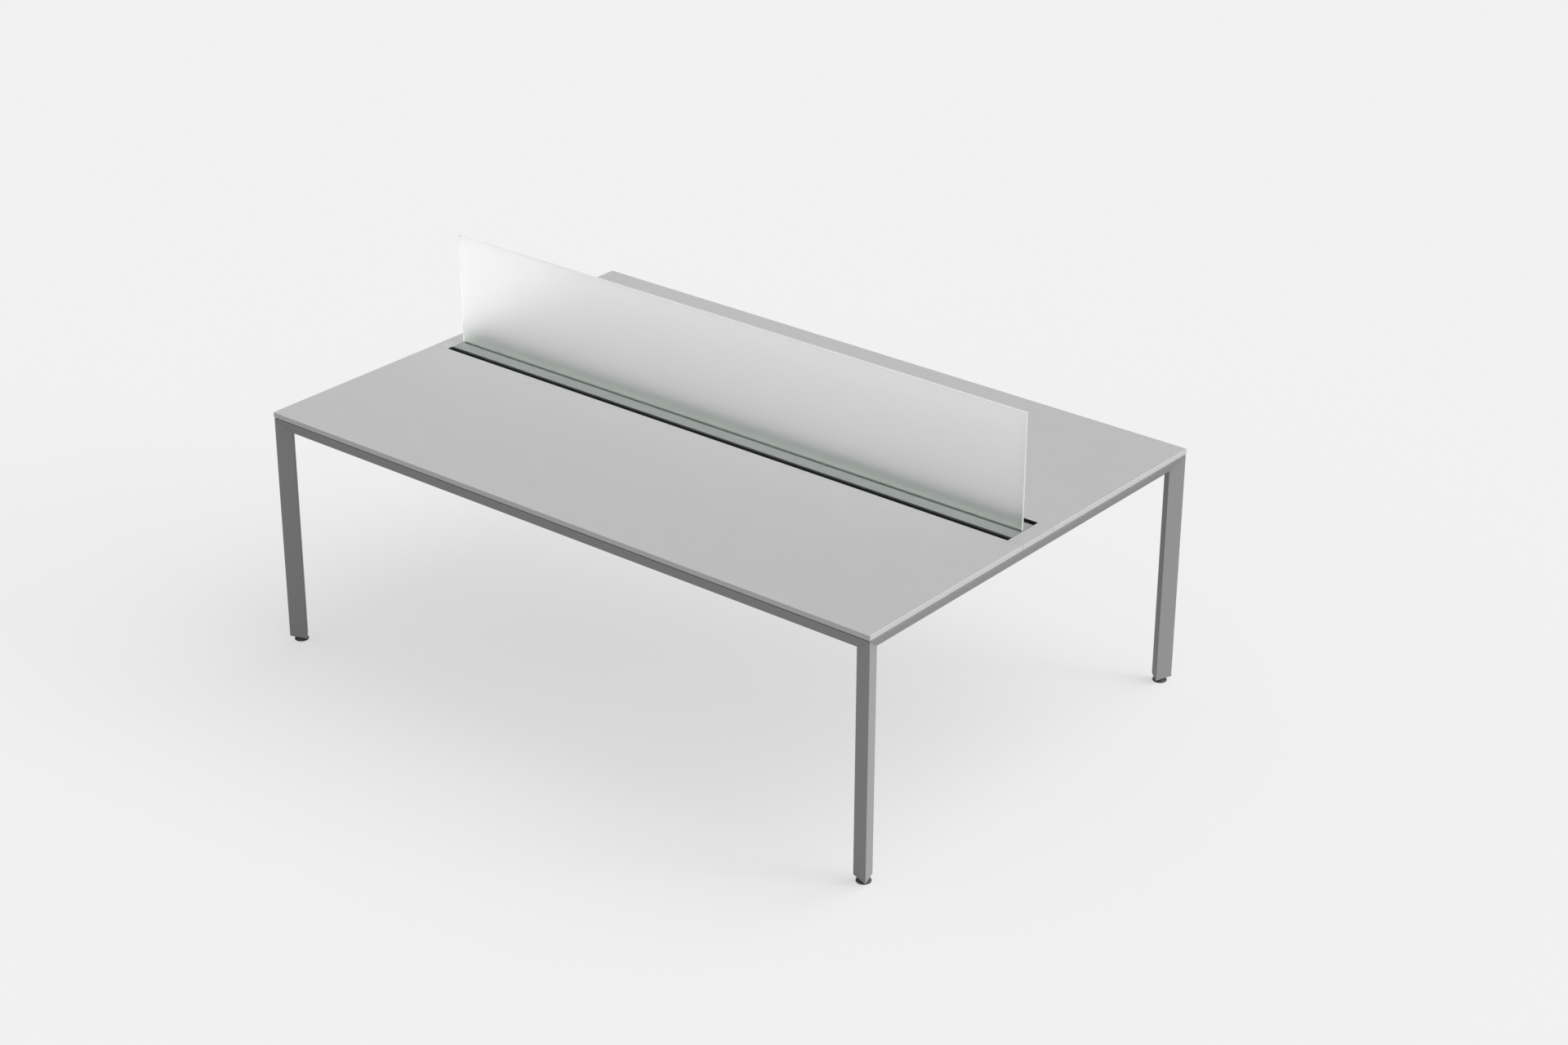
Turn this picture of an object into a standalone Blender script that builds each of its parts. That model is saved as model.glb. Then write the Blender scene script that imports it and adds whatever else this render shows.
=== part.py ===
"""A two-person bench desk: two facing worktops on a mitred frame of triangular tube.

A metal bar runs down the middle between two cable slots and holds a frosted glass screen.
Metres, +Z up. The origin is on the floor under the middle of the desk, +X along its length.
"""
import math

import bmesh
import bpy
from mathutils import Matrix, Vector

# Driving dimensions: the whole desk
DESK_LENGTH = 2.200
DESK_HEIGHT = 0.750
WORKTOP_DEPTH = 0.670
CENTRE_GAP = 0.144
BOARD_THICKNESS = 0.016
BAND_THICKNESS = 0.0015
BAND_CORNER_RADIUS = 0.002
ARRIS = 0.0004

# Driving dimensions: the board that closes the middle at each end
END_PIECE_LENGTH = 0.050
BOARD_SEAM = 0.0008
END_PAD_MARGIN = 0.012

# Driving dimensions: legs and rails, triangular tube mitred three ways at each corner
LEG_REACH = 0.058
LEG_INSET = 0.020
RAIL_DROP = 0.040
TUBE_WALL = 0.002
TUBE_CORNER_RADIUS = 0.0018
SHADOW_GAP = 0.003
CORNER_ARM_LENGTH = 0.075
ARM_SEAM = 0.0008
CONNECTOR_LENGTH = 0.070
CONNECTOR_MITRE_MARGIN = 0.002

# Driving dimensions: levelling feet
FOOT_RADIUS = 0.022
FOOT_HEIGHT = 0.008
FOOT_GAP = 0.004
FOOT_CHAMFER = 0.003
FOOT_GRIPS = 16
FOOT_GRIP_RADIUS = 0.0022
FOOT_GRIP_DEPTH = 0.0011
STUD_RADIUS = 0.005
STUD_LENGTH = 0.055
STUD_SOCKET_DEPTH = 0.0050
PLUG_HEIGHT = 0.025

# Driving dimensions: the two beams under the middle, and what joins them to the frame
BEAM_WIDTH = 0.025
BEAM_HEIGHT = 0.040
BEAM_WALL = 0.002
BEAM_SETBACK = 0.010
END_PLATE_THICKNESS = 0.004
END_PLATE_OVERHANG = 0.012
END_PLATE_MARGIN = 0.004

# Driving dimensions: steel plates that carry the worktops, and their screws
PLATE_WIDTH = 0.050
PLATE_RAIL_MARGIN = 0.016
PLATE_TONGUE = 0.040
RAIL_PLATE_X = 0.700
BEAM_PLATE_X = 0.350
SCREW_RADIUS = 0.00225
SCREW_GRIP = 0.011
SCREW_SPACING = 0.026
SCREW_HEAD_RADIUS = 0.0045
SCREW_HEAD_HEIGHT = 0.0030
SCREW_SETBACK = 0.018

# Driving dimensions: the middle bar and the screen that stands in it
BAR_WIDTH = 0.100
BAR_HEIGHT = 0.026
BAR_WALL = 0.0025
BAR_END_GAP = 0.001
BAR_CORNER_RADIUS = 0.0008
BAR_NOTCH_CLEARANCE = 0.002
GROOVE_WIDTH = 0.013
GLASS_THICKNESS = 0.008
SCREEN_HEIGHT = 0.350
GLASS_END_MARGIN = 0.001
GLASS_ARRIS = 0.0008
GASKET_LIP = 0.0010
GASKET_LIP_HEIGHT = 0.0010
GASKET_CREST = 0.0022
SETTING_BLOCK_LENGTH = 0.100
SETTING_BLOCK_HEIGHT = 0.003
GLASS_RAIL_CLEARANCE = 0.0015

# Driving dimensions: saddles, cable tray and slot edge trims
SADDLE_WIDTH = 0.050
SADDLE_THICKNESS = 0.003
SADDLE_FLANGE = 0.020
SADDLE_SPACING = 0.700
TRAY_LENGTH = 1.900
TRAY_DEPTH = 0.060
TRAY_THICKNESS = 0.0015
TRAY_MARGIN = 0.006
TRIM_THICKNESS = 0.0015
TRIM_TOP_STEP = 0.0005
TRIM_FLANGE = 0.008

# Clearance between pieces that touch, and round-off in the shapes
FIT_GAP = 0.0003
ARC_STEPS = 4
ROUND_STEPS = 48
SMALL_ROUND_STEPS = 16
CUTTER_SIZE = 0.300
CUTTER_MARGIN = 0.010
MERGE_DISTANCE = 0.00001
SMOOTH_ANGLE = math.radians(30)

# Heights and half sizes that follow from the driving dimensions
HALF_LENGTH = DESK_LENGTH / 2
HALF_GAP = CENTRE_GAP / 2
HALF_WIDTH = HALF_GAP + WORKTOP_DEPTH
BOARD_UNDERSIDE = DESK_HEIGHT - BOARD_THICKNESS
RAIL_TOP = BOARD_UNDERSIDE - SHADOW_GAP
LEG_BOTTOM = FOOT_HEIGHT + FOOT_GAP
BEAM_INNER = HALF_GAP + BEAM_SETBACK
BEAM_OUTER = BEAM_INNER + BEAM_WIDTH
BEAM_BOTTOM = RAIL_TOP - BEAM_HEIGHT
BAR_HALF_LENGTH = HALF_LENGTH - END_PIECE_LENGTH - BAR_END_GAP
BAR_BOTTOM = DESK_HEIGHT - BAR_HEIGHT
GLASS_BOTTOM = RAIL_TOP + GLASS_RAIL_CLEARANCE
GROOVE_BOTTOM = GLASS_BOTTOM - SETTING_BLOCK_HEIGHT - 2 * FIT_GAP
GLASS_TOP = DESK_HEIGHT + SCREEN_HEIGHT
GLASS_HALF_LENGTH = BAR_HALF_LENGTH - GLASS_END_MARGIN

# The four corners: name, side along X, side along Y
CORNERS = (
    ("front_left", -1, -1),
    ("front_right", 1, -1),
    ("back_left", -1, 1),
    ("back_right", 1, 1),
)
LONG_SIDES = (("front", -1), ("back", 1))
END_SIDES = (("left", -1), ("right", 1))

# Rotations that lay an outline's local X, Y and extrusion along the world's axes
ALONG_Z = (0, 0, 0)
ALONG_X = (math.pi / 2, 0, math.pi / 2)
ALONG_Y = (math.pi / 2, 0, 0)


def clear_scene():
    """Remove what the scene starts with."""
    for existing in list(bpy.data.objects):
        bpy.data.objects.remove(existing, do_unlink=True)


def make_collection(name):
    """A collection linked to the scene."""
    collection = bpy.data.collections.new(name)
    bpy.context.scene.collection.children.link(collection)
    return collection


def make_material(name, colour, roughness, metallic, transmission=0.0):
    """A Principled material with one even finish."""
    material = bpy.data.materials.new(name)
    material.use_nodes = True
    shader = material.node_tree.nodes["Principled BSDF"]
    shader.inputs["Base Color"].default_value = (*colour, 1.0)
    shader.inputs["Roughness"].default_value = roughness
    shader.inputs["Metallic"].default_value = metallic
    shader.inputs["Transmission Weight"].default_value = transmission
    material.diffuse_color = (*colour, 1.0)
    return material


clear_scene()
PARTS = make_collection("office_workstation")
CUTTERS = make_collection("cutters")

LAMINATE = make_material("grey_laminate", (0.52, 0.52, 0.52), 0.55, 0.0)
EDGE_BAND = make_material("pale_edge_band", (0.60, 0.60, 0.60), 0.50, 0.0)
FRAME_PAINT = make_material("silver_painted_steel", (0.42, 0.42, 0.42), 0.42, 0.3)
BAR_METAL = make_material("satin_aluminium", (0.55, 0.56, 0.56), 0.30, 0.9)
FROSTED_GLASS = make_material("frosted_glass", (0.78, 0.88, 0.83), 0.45, 0.0, 0.9)
BLACK_RUBBER = make_material("black_rubber", (0.02, 0.02, 0.02), 0.80, 0.0)
BLACK_PLASTIC = make_material("black_plastic", (0.03, 0.03, 0.03), 0.55, 0.0)
BLACK_STEEL = make_material("black_painted_steel", (0.03, 0.03, 0.03), 0.50, 0.2)
ZINC_STEEL = make_material("zinc_plated_steel", (0.55, 0.56, 0.58), 0.35, 1.0)


# Shapes that the pieces are made with


def add_object(name, mesh, material, location=(0, 0, 0), rotation=(0, 0, 0)):
    """Put a finished mesh in the scene as one named piece."""
    piece = bpy.data.objects.new(name, mesh)
    PARTS.objects.link(piece)
    piece.location = location
    piece.rotation_euler = rotation
    if material is not None:
        mesh.materials.clear()
        mesh.materials.append(material)
    return piece


def make_cutter(cutter):
    """Turn an object into a tool that is not a piece of the desk."""
    PARTS.objects.unlink(cutter)
    CUTTERS.objects.link(cutter)
    cutter.hide_render = True
    cutter.display_type = "WIRE"
    return cutter


def apply_boolean(piece, operand, operation):
    """Cut or join a piece with an operand that stays in the cutters collection."""
    modifier = piece.modifiers.new(operand.name, "BOOLEAN")
    modifier.operation = operation
    modifier.solver = "EXACT"
    modifier.object = operand


def bevel_edges(piece, width):
    """Ease the sharp edges of a piece."""
    modifier = piece.modifiers.new("eased_edges", "BEVEL")
    modifier.width = width
    modifier.segments = 1
    modifier.limit_method = "ANGLE"
    modifier.angle_limit = SMOOTH_ANGLE


def round_outline(corners, radius):
    """The outline through the corners, with each corner turned by an arc."""
    points = []
    count = len(corners)
    for index in range(count):
        corner = Vector(corners[index])
        towards_last = (Vector(corners[index - 1]) - corner).normalized()
        towards_next = (Vector(corners[(index + 1) % count]) - corner).normalized()
        half_angle = towards_last.angle(towards_next) / 2
        centre_way = (towards_last + towards_next).normalized()
        centre = corner + centre_way * radius / math.sin(half_angle)
        start = corner + towards_last * radius / math.tan(half_angle) - centre
        end = corner + towards_next * radius / math.tan(half_angle) - centre
        start_angle = math.atan2(start.y, start.x)
        sweep = math.atan2(end.y, end.x) - start_angle
        sweep = (sweep + math.pi) % (2 * math.pi) - math.pi
        for step in range(ARC_STEPS + 1):
            angle = start_angle + sweep * step / ARC_STEPS
            points.append((centre.x + radius * math.cos(angle), centre.y + radius * math.sin(angle)))
    return points


def inset_outline(corners, distance):
    """The convex outline with every side moved inwards by a distance."""
    middle = sum((Vector(corner) for corner in corners), Vector((0, 0))) / len(corners)
    sides = []
    for index in range(len(corners)):
        start = Vector(corners[index])
        along = (Vector(corners[(index + 1) % len(corners)]) - start).normalized()
        inwards = Vector((-along.y, along.x))
        if inwards.dot(middle - start) < 0:
            inwards.negate()
        sides.append((start + inwards * distance, along))
    points = []
    for index in range(len(sides)):
        start, along = sides[index - 1]
        other_start, other_along = sides[index]
        offset = other_start - start
        cross = along.x * other_along.y - along.y * other_along.x
        reach = (offset.x * other_along.y - offset.y * other_along.x) / cross
        points.append(tuple(start + along * reach))
    return points


def extrude_outlines(name, outlines, length, material, location, rotation):
    """A prism with the first outline as its outer wall and the others as openings through it."""
    curve = bpy.data.curves.new(name, "CURVE")
    curve.dimensions = "2D"
    curve.fill_mode = "BOTH"
    curve.extrude = length / 2
    for outline in outlines:
        spline = curve.splines.new("POLY")
        spline.points.add(len(outline) - 1)
        for point, place in zip(spline.points, outline):
            point.co = (place[0], place[1], 0, 1)
        spline.use_cyclic_u = True
    outline_object = bpy.data.objects.new(name + "_outline", curve)
    PARTS.objects.link(outline_object)
    evaluated = outline_object.evaluated_get(bpy.context.evaluated_depsgraph_get())
    mesh = bpy.data.meshes.new_from_object(evaluated)
    bpy.data.objects.remove(outline_object)
    weld_mesh(mesh)
    mesh.name = name
    return add_object(name, mesh, material, location, rotation)


def weld_mesh(mesh):
    """Join the loose caps of a mesh to its walls and turn its faces outwards."""
    shape = bmesh.new()
    shape.from_mesh(mesh)
    bmesh.ops.remove_doubles(shape, verts=shape.verts, dist=MERGE_DISTANCE)
    bmesh.ops.recalc_face_normals(shape, faces=shape.faces)
    shape.to_mesh(mesh)
    shape.free()


def make_box(name, low, high, material):
    """A box between two corners, with its origin at its middle."""
    low = Vector(low)
    high = Vector(high)
    shape = bmesh.new()
    bmesh.ops.create_cube(shape, size=1)
    bmesh.ops.scale(shape, vec=high - low, verts=shape.verts)
    mesh = bpy.data.meshes.new(name)
    shape.to_mesh(mesh)
    shape.free()
    return add_object(name, mesh, material, (low + high) / 2)


def make_rods(name, places, radius, low, high, steps, material=None):
    """Upright round rods of one size, at a list of places, as one mesh."""
    shape = bmesh.new()
    for x, y in places:
        bmesh.ops.create_cone(
            shape,
            cap_ends=True,
            segments=steps,
            radius1=radius,
            radius2=radius,
            depth=high - low,
            matrix=Matrix.Translation((x, y, (low + high) / 2)),
        )
    mesh = bpy.data.meshes.new(name)
    shape.to_mesh(mesh)
    shape.free()
    return add_object(name, mesh, material)


def turn_profile(name, profile, steps, material, location):
    """A solid turned about the upright axis from radius and height pairs, top to bottom."""
    mesh = bpy.data.meshes.new(name)
    points = [(radius, 0, height) for radius, height in profile]
    edges = [(index, index + 1) for index in range(len(points) - 1)]
    mesh.from_pydata(points, edges, [])
    piece = add_object(name, mesh, material, location)
    screw = piece.modifiers.new("turn", "SCREW")
    screw.steps = steps
    screw.render_steps = steps
    screw.use_merge_vertices = True
    screw.merge_threshold = MERGE_DISTANCE
    return piece


def fold_sheet(name, path, length, thickness, material, location):
    """Folded sheet metal: a path across the sheet, drawn along X, thickened on its right hand."""
    shape = bmesh.new()
    rows = []
    for y, z in path:
        row = (shape.verts.new((-length / 2, y, z)), shape.verts.new((length / 2, y, z)))
        rows.append(row)
    for row, next_row in zip(rows, rows[1:]):
        shape.faces.new((row[0], next_row[0], next_row[1], row[1]))
    mesh = bpy.data.meshes.new(name)
    shape.to_mesh(mesh)
    shape.free()
    piece = add_object(name, mesh, material, location)
    solidify = piece.modifiers.new("sheet", "SOLIDIFY")
    solidify.thickness = thickness
    solidify.offset = 1.0
    solidify.use_even_offset = True
    return piece


def cut_half_space(piece, name, point, normal):
    """Cut away all of a piece on the side of a plane that its normal points to."""
    shape = bmesh.new()
    bmesh.ops.create_cube(shape, size=CUTTER_SIZE)
    mesh = bpy.data.meshes.new(name)
    shape.to_mesh(mesh)
    shape.free()
    middle = Vector(point) + normal.normalized() * CUTTER_SIZE / 2
    cutter = make_cutter(add_object(name, mesh, None, middle))
    cutter.rotation_euler = normal.to_track_quat("Z", "Y").to_euler()
    apply_boolean(piece, cutter, "DIFFERENCE")


def smooth_round(piece):
    """Shade a turned or rounded piece smooth between its sharp edges."""
    piece.data.shade_smooth()
    piece.data.set_sharp_from_angle(angle=SMOOTH_ANGLE)


# The frame's triangular sections and its mitred corners


def leg_section(side_x, side_y):
    """A leg's triangle, from its tip at the desk's corner, in the directions of that corner."""
    tip = (0, 0)
    long_side_corner = (-side_x * LEG_REACH, -side_y * LEG_INSET)
    end_side_corner = (-side_x * LEG_INSET, -side_y * LEG_REACH)
    return [tip, long_side_corner, end_side_corner]


def rail_section(side):
    """A rail's triangle, from its outer top edge: sloping face, then sloping back, then top."""
    outer_top = (0, 0)
    bottom = (-side * LEG_INSET, -RAIL_DROP)
    inner_top = (-side * LEG_REACH, 0)
    return [outer_top, bottom, inner_top]


def tube_outlines(section):
    """The outer and inner outlines of a tube of this section."""
    return [round_outline(section, TUBE_CORNER_RADIUS), inset_outline(section, TUBE_WALL)]


def corner_point(side_x, side_y, inward_x, inward_y, drop):
    """A point measured inwards and down from the frame's top corner."""
    x = side_x * (HALF_LENGTH - inward_x)
    y = side_y * (HALF_WIDTH - inward_y)
    return Vector((x, y, RAIL_TOP - drop))


def mitre_planes(side_x, side_y):
    """The corner's tip, with the upward normals of the leg's mitres with the two rails."""
    tip = corner_point(side_x, side_y, 0, 0, 0)
    long_low = corner_point(side_x, side_y, LEG_REACH, LEG_INSET, RAIL_DROP) - tip
    long_high = corner_point(side_x, side_y, LEG_INSET, LEG_REACH, 0) - tip
    end_low = corner_point(side_x, side_y, LEG_INSET, LEG_REACH, RAIL_DROP) - tip
    end_high = corner_point(side_x, side_y, LEG_REACH, LEG_INSET, 0) - tip
    long_normal = long_low.cross(long_high).normalized()
    end_normal = end_low.cross(end_high).normalized()
    if long_normal.z < 0:
        long_normal.negate()
    if end_normal.z < 0:
        end_normal.negate()
    return tip, long_normal, end_normal


def cut_rail_mitres(rail, corner, side_x, side_y, is_long_rail):
    """Cut one end of a rail to its mitres with the leg and with the other rail."""
    tip, long_normal, end_normal = mitre_planes(side_x, side_y)
    leg_normal = long_normal if is_long_rail else end_normal
    into_long_rail = Vector((-side_x, side_y, 0)).normalized()
    rail_side = into_long_rail if is_long_rail else -into_long_rail
    half_gap = FIT_GAP / 2
    cut_half_space(rail, rail.name + "_leg_mitre_" + corner, tip + leg_normal * half_gap, -leg_normal)
    cut_half_space(rail, rail.name + "_rail_mitre_" + corner, tip + rail_side * half_gap, -rail_side)


def make_leg(corner, side_x, side_y):
    """A leg of triangular tube, cut at its top to the mitres with both rails."""
    height = RAIL_TOP - LEG_BOTTOM
    place = (side_x * HALF_LENGTH, side_y * HALF_WIDTH, LEG_BOTTOM + height / 2)
    outlines = tube_outlines(leg_section(side_x, side_y))
    leg = extrude_outlines("leg_" + corner, outlines, height, FRAME_PAINT, place, ALONG_Z)
    tip, long_normal, end_normal = mitre_planes(side_x, side_y)
    half_gap = FIT_GAP / 2
    cut_half_space(leg, "leg_long_mitre_" + corner, tip - long_normal * half_gap, long_normal)
    cut_half_space(leg, "leg_end_mitre_" + corner, tip - end_normal * half_gap, end_normal)
    smooth_round(leg)


def make_long_rail(side_name, side_y):
    """A long rail from corner to corner, under the outer edge of a worktop."""
    place = (0, side_y * HALF_WIDTH, RAIL_TOP)
    outlines = tube_outlines(rail_section(side_y))
    name = "long_rail_" + side_name
    rail = extrude_outlines(name, outlines, DESK_LENGTH, FRAME_PAINT, place, ALONG_X)
    for corner, corner_x, corner_y in CORNERS:
        if corner_y == side_y:
            cut_rail_mitres(rail, corner, corner_x, corner_y, True)
    smooth_round(rail)


def make_corner_arm(corner, side_x, side_y):
    """The short arm of the end rail that is welded to a corner."""
    place_y = side_y * (HALF_WIDTH - CORNER_ARM_LENGTH / 2)
    outlines = tube_outlines(rail_section(side_x))
    place = (side_x * HALF_LENGTH, place_y, RAIL_TOP)
    name = "corner_arm_" + corner
    arm = extrude_outlines(name, outlines, CORNER_ARM_LENGTH, FRAME_PAINT, place, ALONG_Y)
    cut_rail_mitres(arm, corner, side_x, side_y, False)
    smooth_round(arm)


def make_end_rail(side_name, side_x):
    """The end rail between two corner arms."""
    length = 2 * (HALF_WIDTH - CORNER_ARM_LENGTH - ARM_SEAM)
    outlines = tube_outlines(rail_section(side_x))
    place = (side_x * HALF_LENGTH, 0, RAIL_TOP)
    rail = extrude_outlines("end_rail_" + side_name, outlines, length, FRAME_PAINT, place, ALONG_Y)
    smooth_round(rail)


def make_rail_connector(corner, side_x, side_y):
    """The steel spigot that is fixed in a corner arm and enters the end rail."""
    section = inset_outline(rail_section(side_x), TUBE_WALL + FIT_GAP)
    start = LEG_REACH + CONNECTOR_MITRE_MARGIN
    place_y = side_y * (HALF_WIDTH - start - CONNECTOR_LENGTH / 2)
    place = (side_x * HALF_LENGTH, place_y, RAIL_TOP)
    name = "rail_connector_" + corner
    extrude_outlines(name, [section], CONNECTOR_LENGTH, ZINC_STEEL, place, ALONG_Y)


# Levelling feet


def foot_centre(side_x, side_y):
    """A foot stands at the middle of its leg's triangle."""
    inward = (LEG_REACH + LEG_INSET) / 3
    return (side_x * (HALF_LENGTH - inward), side_y * (HALF_WIDTH - inward))


def make_leg_plug(corner, side_x, side_y):
    """The threaded insert in the bottom of a leg."""
    section = inset_outline(leg_section(side_x, side_y), TUBE_WALL + FIT_GAP)
    place = (side_x * HALF_LENGTH, side_y * HALF_WIDTH, LEG_BOTTOM + PLUG_HEIGHT / 2)
    name = "leg_plug_" + corner
    plug = extrude_outlines(name, [section], PLUG_HEIGHT, BLACK_PLASTIC, place, ALONG_Z)
    low = LEG_BOTTOM - CUTTER_MARGIN
    high = LEG_BOTTOM + PLUG_HEIGHT + CUTTER_MARGIN
    centre = [foot_centre(side_x, side_y)]
    bore = make_rods(name + "_bore", centre, STUD_RADIUS + FIT_GAP, low, high, SMALL_ROUND_STEPS)
    apply_boolean(plug, make_cutter(bore), "DIFFERENCE")


def make_foot_base(corner, side_x, side_y):
    """The round foot, turned with a sloping rim and scalloped for the hand."""
    x, y = foot_centre(side_x, side_y)
    rim_top = FOOT_HEIGHT - FOOT_CHAMFER / 2
    profile = [
        (0, FOOT_HEIGHT),
        (FOOT_RADIUS - FOOT_CHAMFER, FOOT_HEIGHT),
        (FOOT_RADIUS, rim_top),
        (FOOT_RADIUS, FOOT_CHAMFER / 2),
        (FOOT_RADIUS - FOOT_CHAMFER / 2, 0),
        (0, 0),
    ]
    name = "foot_base_" + corner
    base = turn_profile(name, profile, ROUND_STEPS, BLACK_PLASTIC, (x, y, 0))
    grip_circle = FOOT_RADIUS + FOOT_GRIP_RADIUS - FOOT_GRIP_DEPTH
    grips = []
    for index in range(FOOT_GRIPS):
        angle = 2 * math.pi * (index + 0.5) / FOOT_GRIPS
        grips.append((x + grip_circle * math.cos(angle), y + grip_circle * math.sin(angle)))
    low = -CUTTER_MARGIN
    high = FOOT_HEIGHT + CUTTER_MARGIN
    scallops = make_rods(name + "_scallops", grips, FOOT_GRIP_RADIUS, low, high, SMALL_ROUND_STEPS)
    apply_boolean(base, make_cutter(scallops), "DIFFERENCE")
    socket_low = FOOT_HEIGHT - STUD_SOCKET_DEPTH - FIT_GAP
    socket_radius = STUD_RADIUS + FIT_GAP
    socket = make_rods(name + "_socket", [(x, y)], socket_radius, socket_low, high, SMALL_ROUND_STEPS)
    apply_boolean(base, make_cutter(socket), "DIFFERENCE")
    smooth_round(base)


def make_foot_stud(corner, side_x, side_y):
    """The screw that carries a foot and turns in the leg's plug."""
    x, y = foot_centre(side_x, side_y)
    low = FOOT_HEIGHT - STUD_SOCKET_DEPTH
    high = low + STUD_LENGTH
    bottom_chamfer = STUD_RADIUS / 5
    profile = [
        (0, high),
        (STUD_RADIUS - bottom_chamfer, high),
        (STUD_RADIUS, high - bottom_chamfer),
        (STUD_RADIUS, low),
        (0, low),
    ]
    name = "foot_stud_" + corner
    stud = turn_profile(name, profile, SMALL_ROUND_STEPS, ZINC_STEEL, (x, y, 0))
    smooth_round(stud)


# Beams under the middle, with their end plates


def slope_frame():
    """The back slope of an end rail: its direction upwards, its normal into the desk, its length."""
    along = Vector((LEG_REACH - LEG_INSET, RAIL_DROP))
    across = Vector((RAIL_DROP, -(LEG_REACH - LEG_INSET)))
    return along.normalized(), across.normalized(), along.length


def make_beam(side_name, side_y):
    """A box-section beam beside the middle gap, cut at its ends to the end plates."""
    low_y = min(side_y * BEAM_INNER, side_y * BEAM_OUTER)
    high_y = max(side_y * BEAM_INNER, side_y * BEAM_OUTER)
    section = [(low_y, 0), (high_y, 0), (high_y, BEAM_HEIGHT), (low_y, BEAM_HEIGHT)]
    outlines = [round_outline(section, TUBE_CORNER_RADIUS), inset_outline(section, BEAM_WALL)]
    name = "centre_beam_" + side_name
    beam = extrude_outlines(name, outlines, DESK_LENGTH, FRAME_PAINT, (0, 0, BEAM_BOTTOM), ALONG_X)
    across = slope_frame()[1]
    clearance = END_PLATE_THICKNESS + 2 * FIT_GAP
    for end_name, side_x in END_SIDES:
        inward = LEG_REACH + across.x * clearance
        height = RAIL_TOP + across.y * clearance
        point = Vector((side_x * (HALF_LENGTH - inward), side_y * BEAM_INNER, height))
        outwards = Vector((side_x * across.x, 0, -across.y))
        cut_half_space(beam, name + "_end_" + end_name, point, outwards)
    smooth_round(beam)


def make_beam_end_plate(end_name, side_x):
    """The sloping plate that fixes both beams to the back of an end rail."""
    along, across, slope_length = slope_frame()
    low_corner = Vector((LEG_INSET, -RAIL_DROP))
    corners = []
    for distance, depth in (
        (END_PLATE_MARGIN, FIT_GAP),
        (slope_length - END_PLATE_MARGIN, FIT_GAP),
        (slope_length - END_PLATE_MARGIN, FIT_GAP + END_PLATE_THICKNESS),
        (END_PLATE_MARGIN, FIT_GAP + END_PLATE_THICKNESS),
    ):
        corner = low_corner + along * distance + across * depth
        corners.append((-side_x * corner.x, corner.y))
    width = 2 * (BEAM_OUTER + END_PLATE_OVERHANG)
    place = (side_x * HALF_LENGTH, 0, RAIL_TOP)
    name = "beam_end_plate_" + end_name
    extrude_outlines(name, [corners], width, ZINC_STEEL, place, ALONG_Y)


# Worktops, their edge bands and what carries them


def worktop_limits(side_y, inset):
    """The low and high corners, seen from above, of a worktop inset all round."""
    near = HALF_GAP + inset
    far = HALF_WIDTH - inset
    low_y = min(side_y * near, side_y * far)
    high_y = max(side_y * near, side_y * far)
    return (-HALF_LENGTH + inset, low_y), (HALF_LENGTH - inset, high_y)


def rectangle(low, high):
    """The four corners of a rectangle."""
    return [(low[0], low[1]), (high[0], low[1]), (high[0], high[1]), (low[0], high[1])]


def plate_places():
    """Where the plates lie: name, middle in X, the edges of the seat and of the tongue in Y."""
    rail_seat = HALF_WIDTH - PLATE_RAIL_MARGIN
    rail_tongue = HALF_WIDTH - LEG_REACH - PLATE_TONGUE
    beam_tongue = BEAM_OUTER + PLATE_TONGUE
    places = []
    for side_name, side_y in LONG_SIDES:
        for end_name, side_x in END_SIDES:
            corner = side_name + "_" + end_name
            places.append(("rail_plate_" + corner, side_x * RAIL_PLATE_X, side_y, rail_seat, rail_tongue))
            places.append(("beam_plate_" + corner, side_x * BEAM_PLATE_X, side_y, BEAM_INNER, beam_tongue))
    return places


def screw_places(x, side_y, seat_edge, tongue_edge):
    """The two screws near the free end of a plate's tongue."""
    towards_seat = 1 if seat_edge > tongue_edge else -1
    y = side_y * (tongue_edge + towards_seat * SCREW_SETBACK)
    return [(x - SCREW_SPACING / 2, y), (x + SCREW_SPACING / 2, y)]


def make_worktop(side_name, side_y):
    """The board of one worktop, drilled from below for its screws."""
    low, high = worktop_limits(side_y, BAND_THICKNESS + FIT_GAP)
    name = "worktop_" + side_name
    board = make_box(name, (*low, BOARD_UNDERSIDE), (*high, DESK_HEIGHT), LAMINATE)
    holes = []
    for plate_name, x, plate_side, seat_edge, tongue_edge in plate_places():
        if plate_side == side_y:
            holes.extend(screw_places(x, plate_side, seat_edge, tongue_edge))
    radius = SCREW_RADIUS + FIT_GAP
    depth = BOARD_UNDERSIDE + SCREW_GRIP + FIT_GAP
    low_end = BOARD_UNDERSIDE - CUTTER_MARGIN
    drills = make_rods(name + "_drills", holes, radius, low_end, depth, SMALL_ROUND_STEPS)
    apply_boolean(board, make_cutter(drills), "DIFFERENCE")


def make_edge_band(side_name, side_y):
    """The thin band glued round the four edges of a worktop."""
    outer_low, outer_high = worktop_limits(side_y, 0)
    inner_low, inner_high = worktop_limits(side_y, BAND_THICKNESS)
    outer = round_outline(rectangle(outer_low, outer_high), BAND_CORNER_RADIUS)
    inner = rectangle(inner_low, inner_high)
    place = (0, 0, BOARD_UNDERSIDE + BOARD_THICKNESS / 2)
    name = "edge_band_" + side_name
    band = extrude_outlines(name, [outer, inner], BOARD_THICKNESS, EDGE_BAND, place, ALONG_Z)
    bevel_edges(band, ARRIS)


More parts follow.
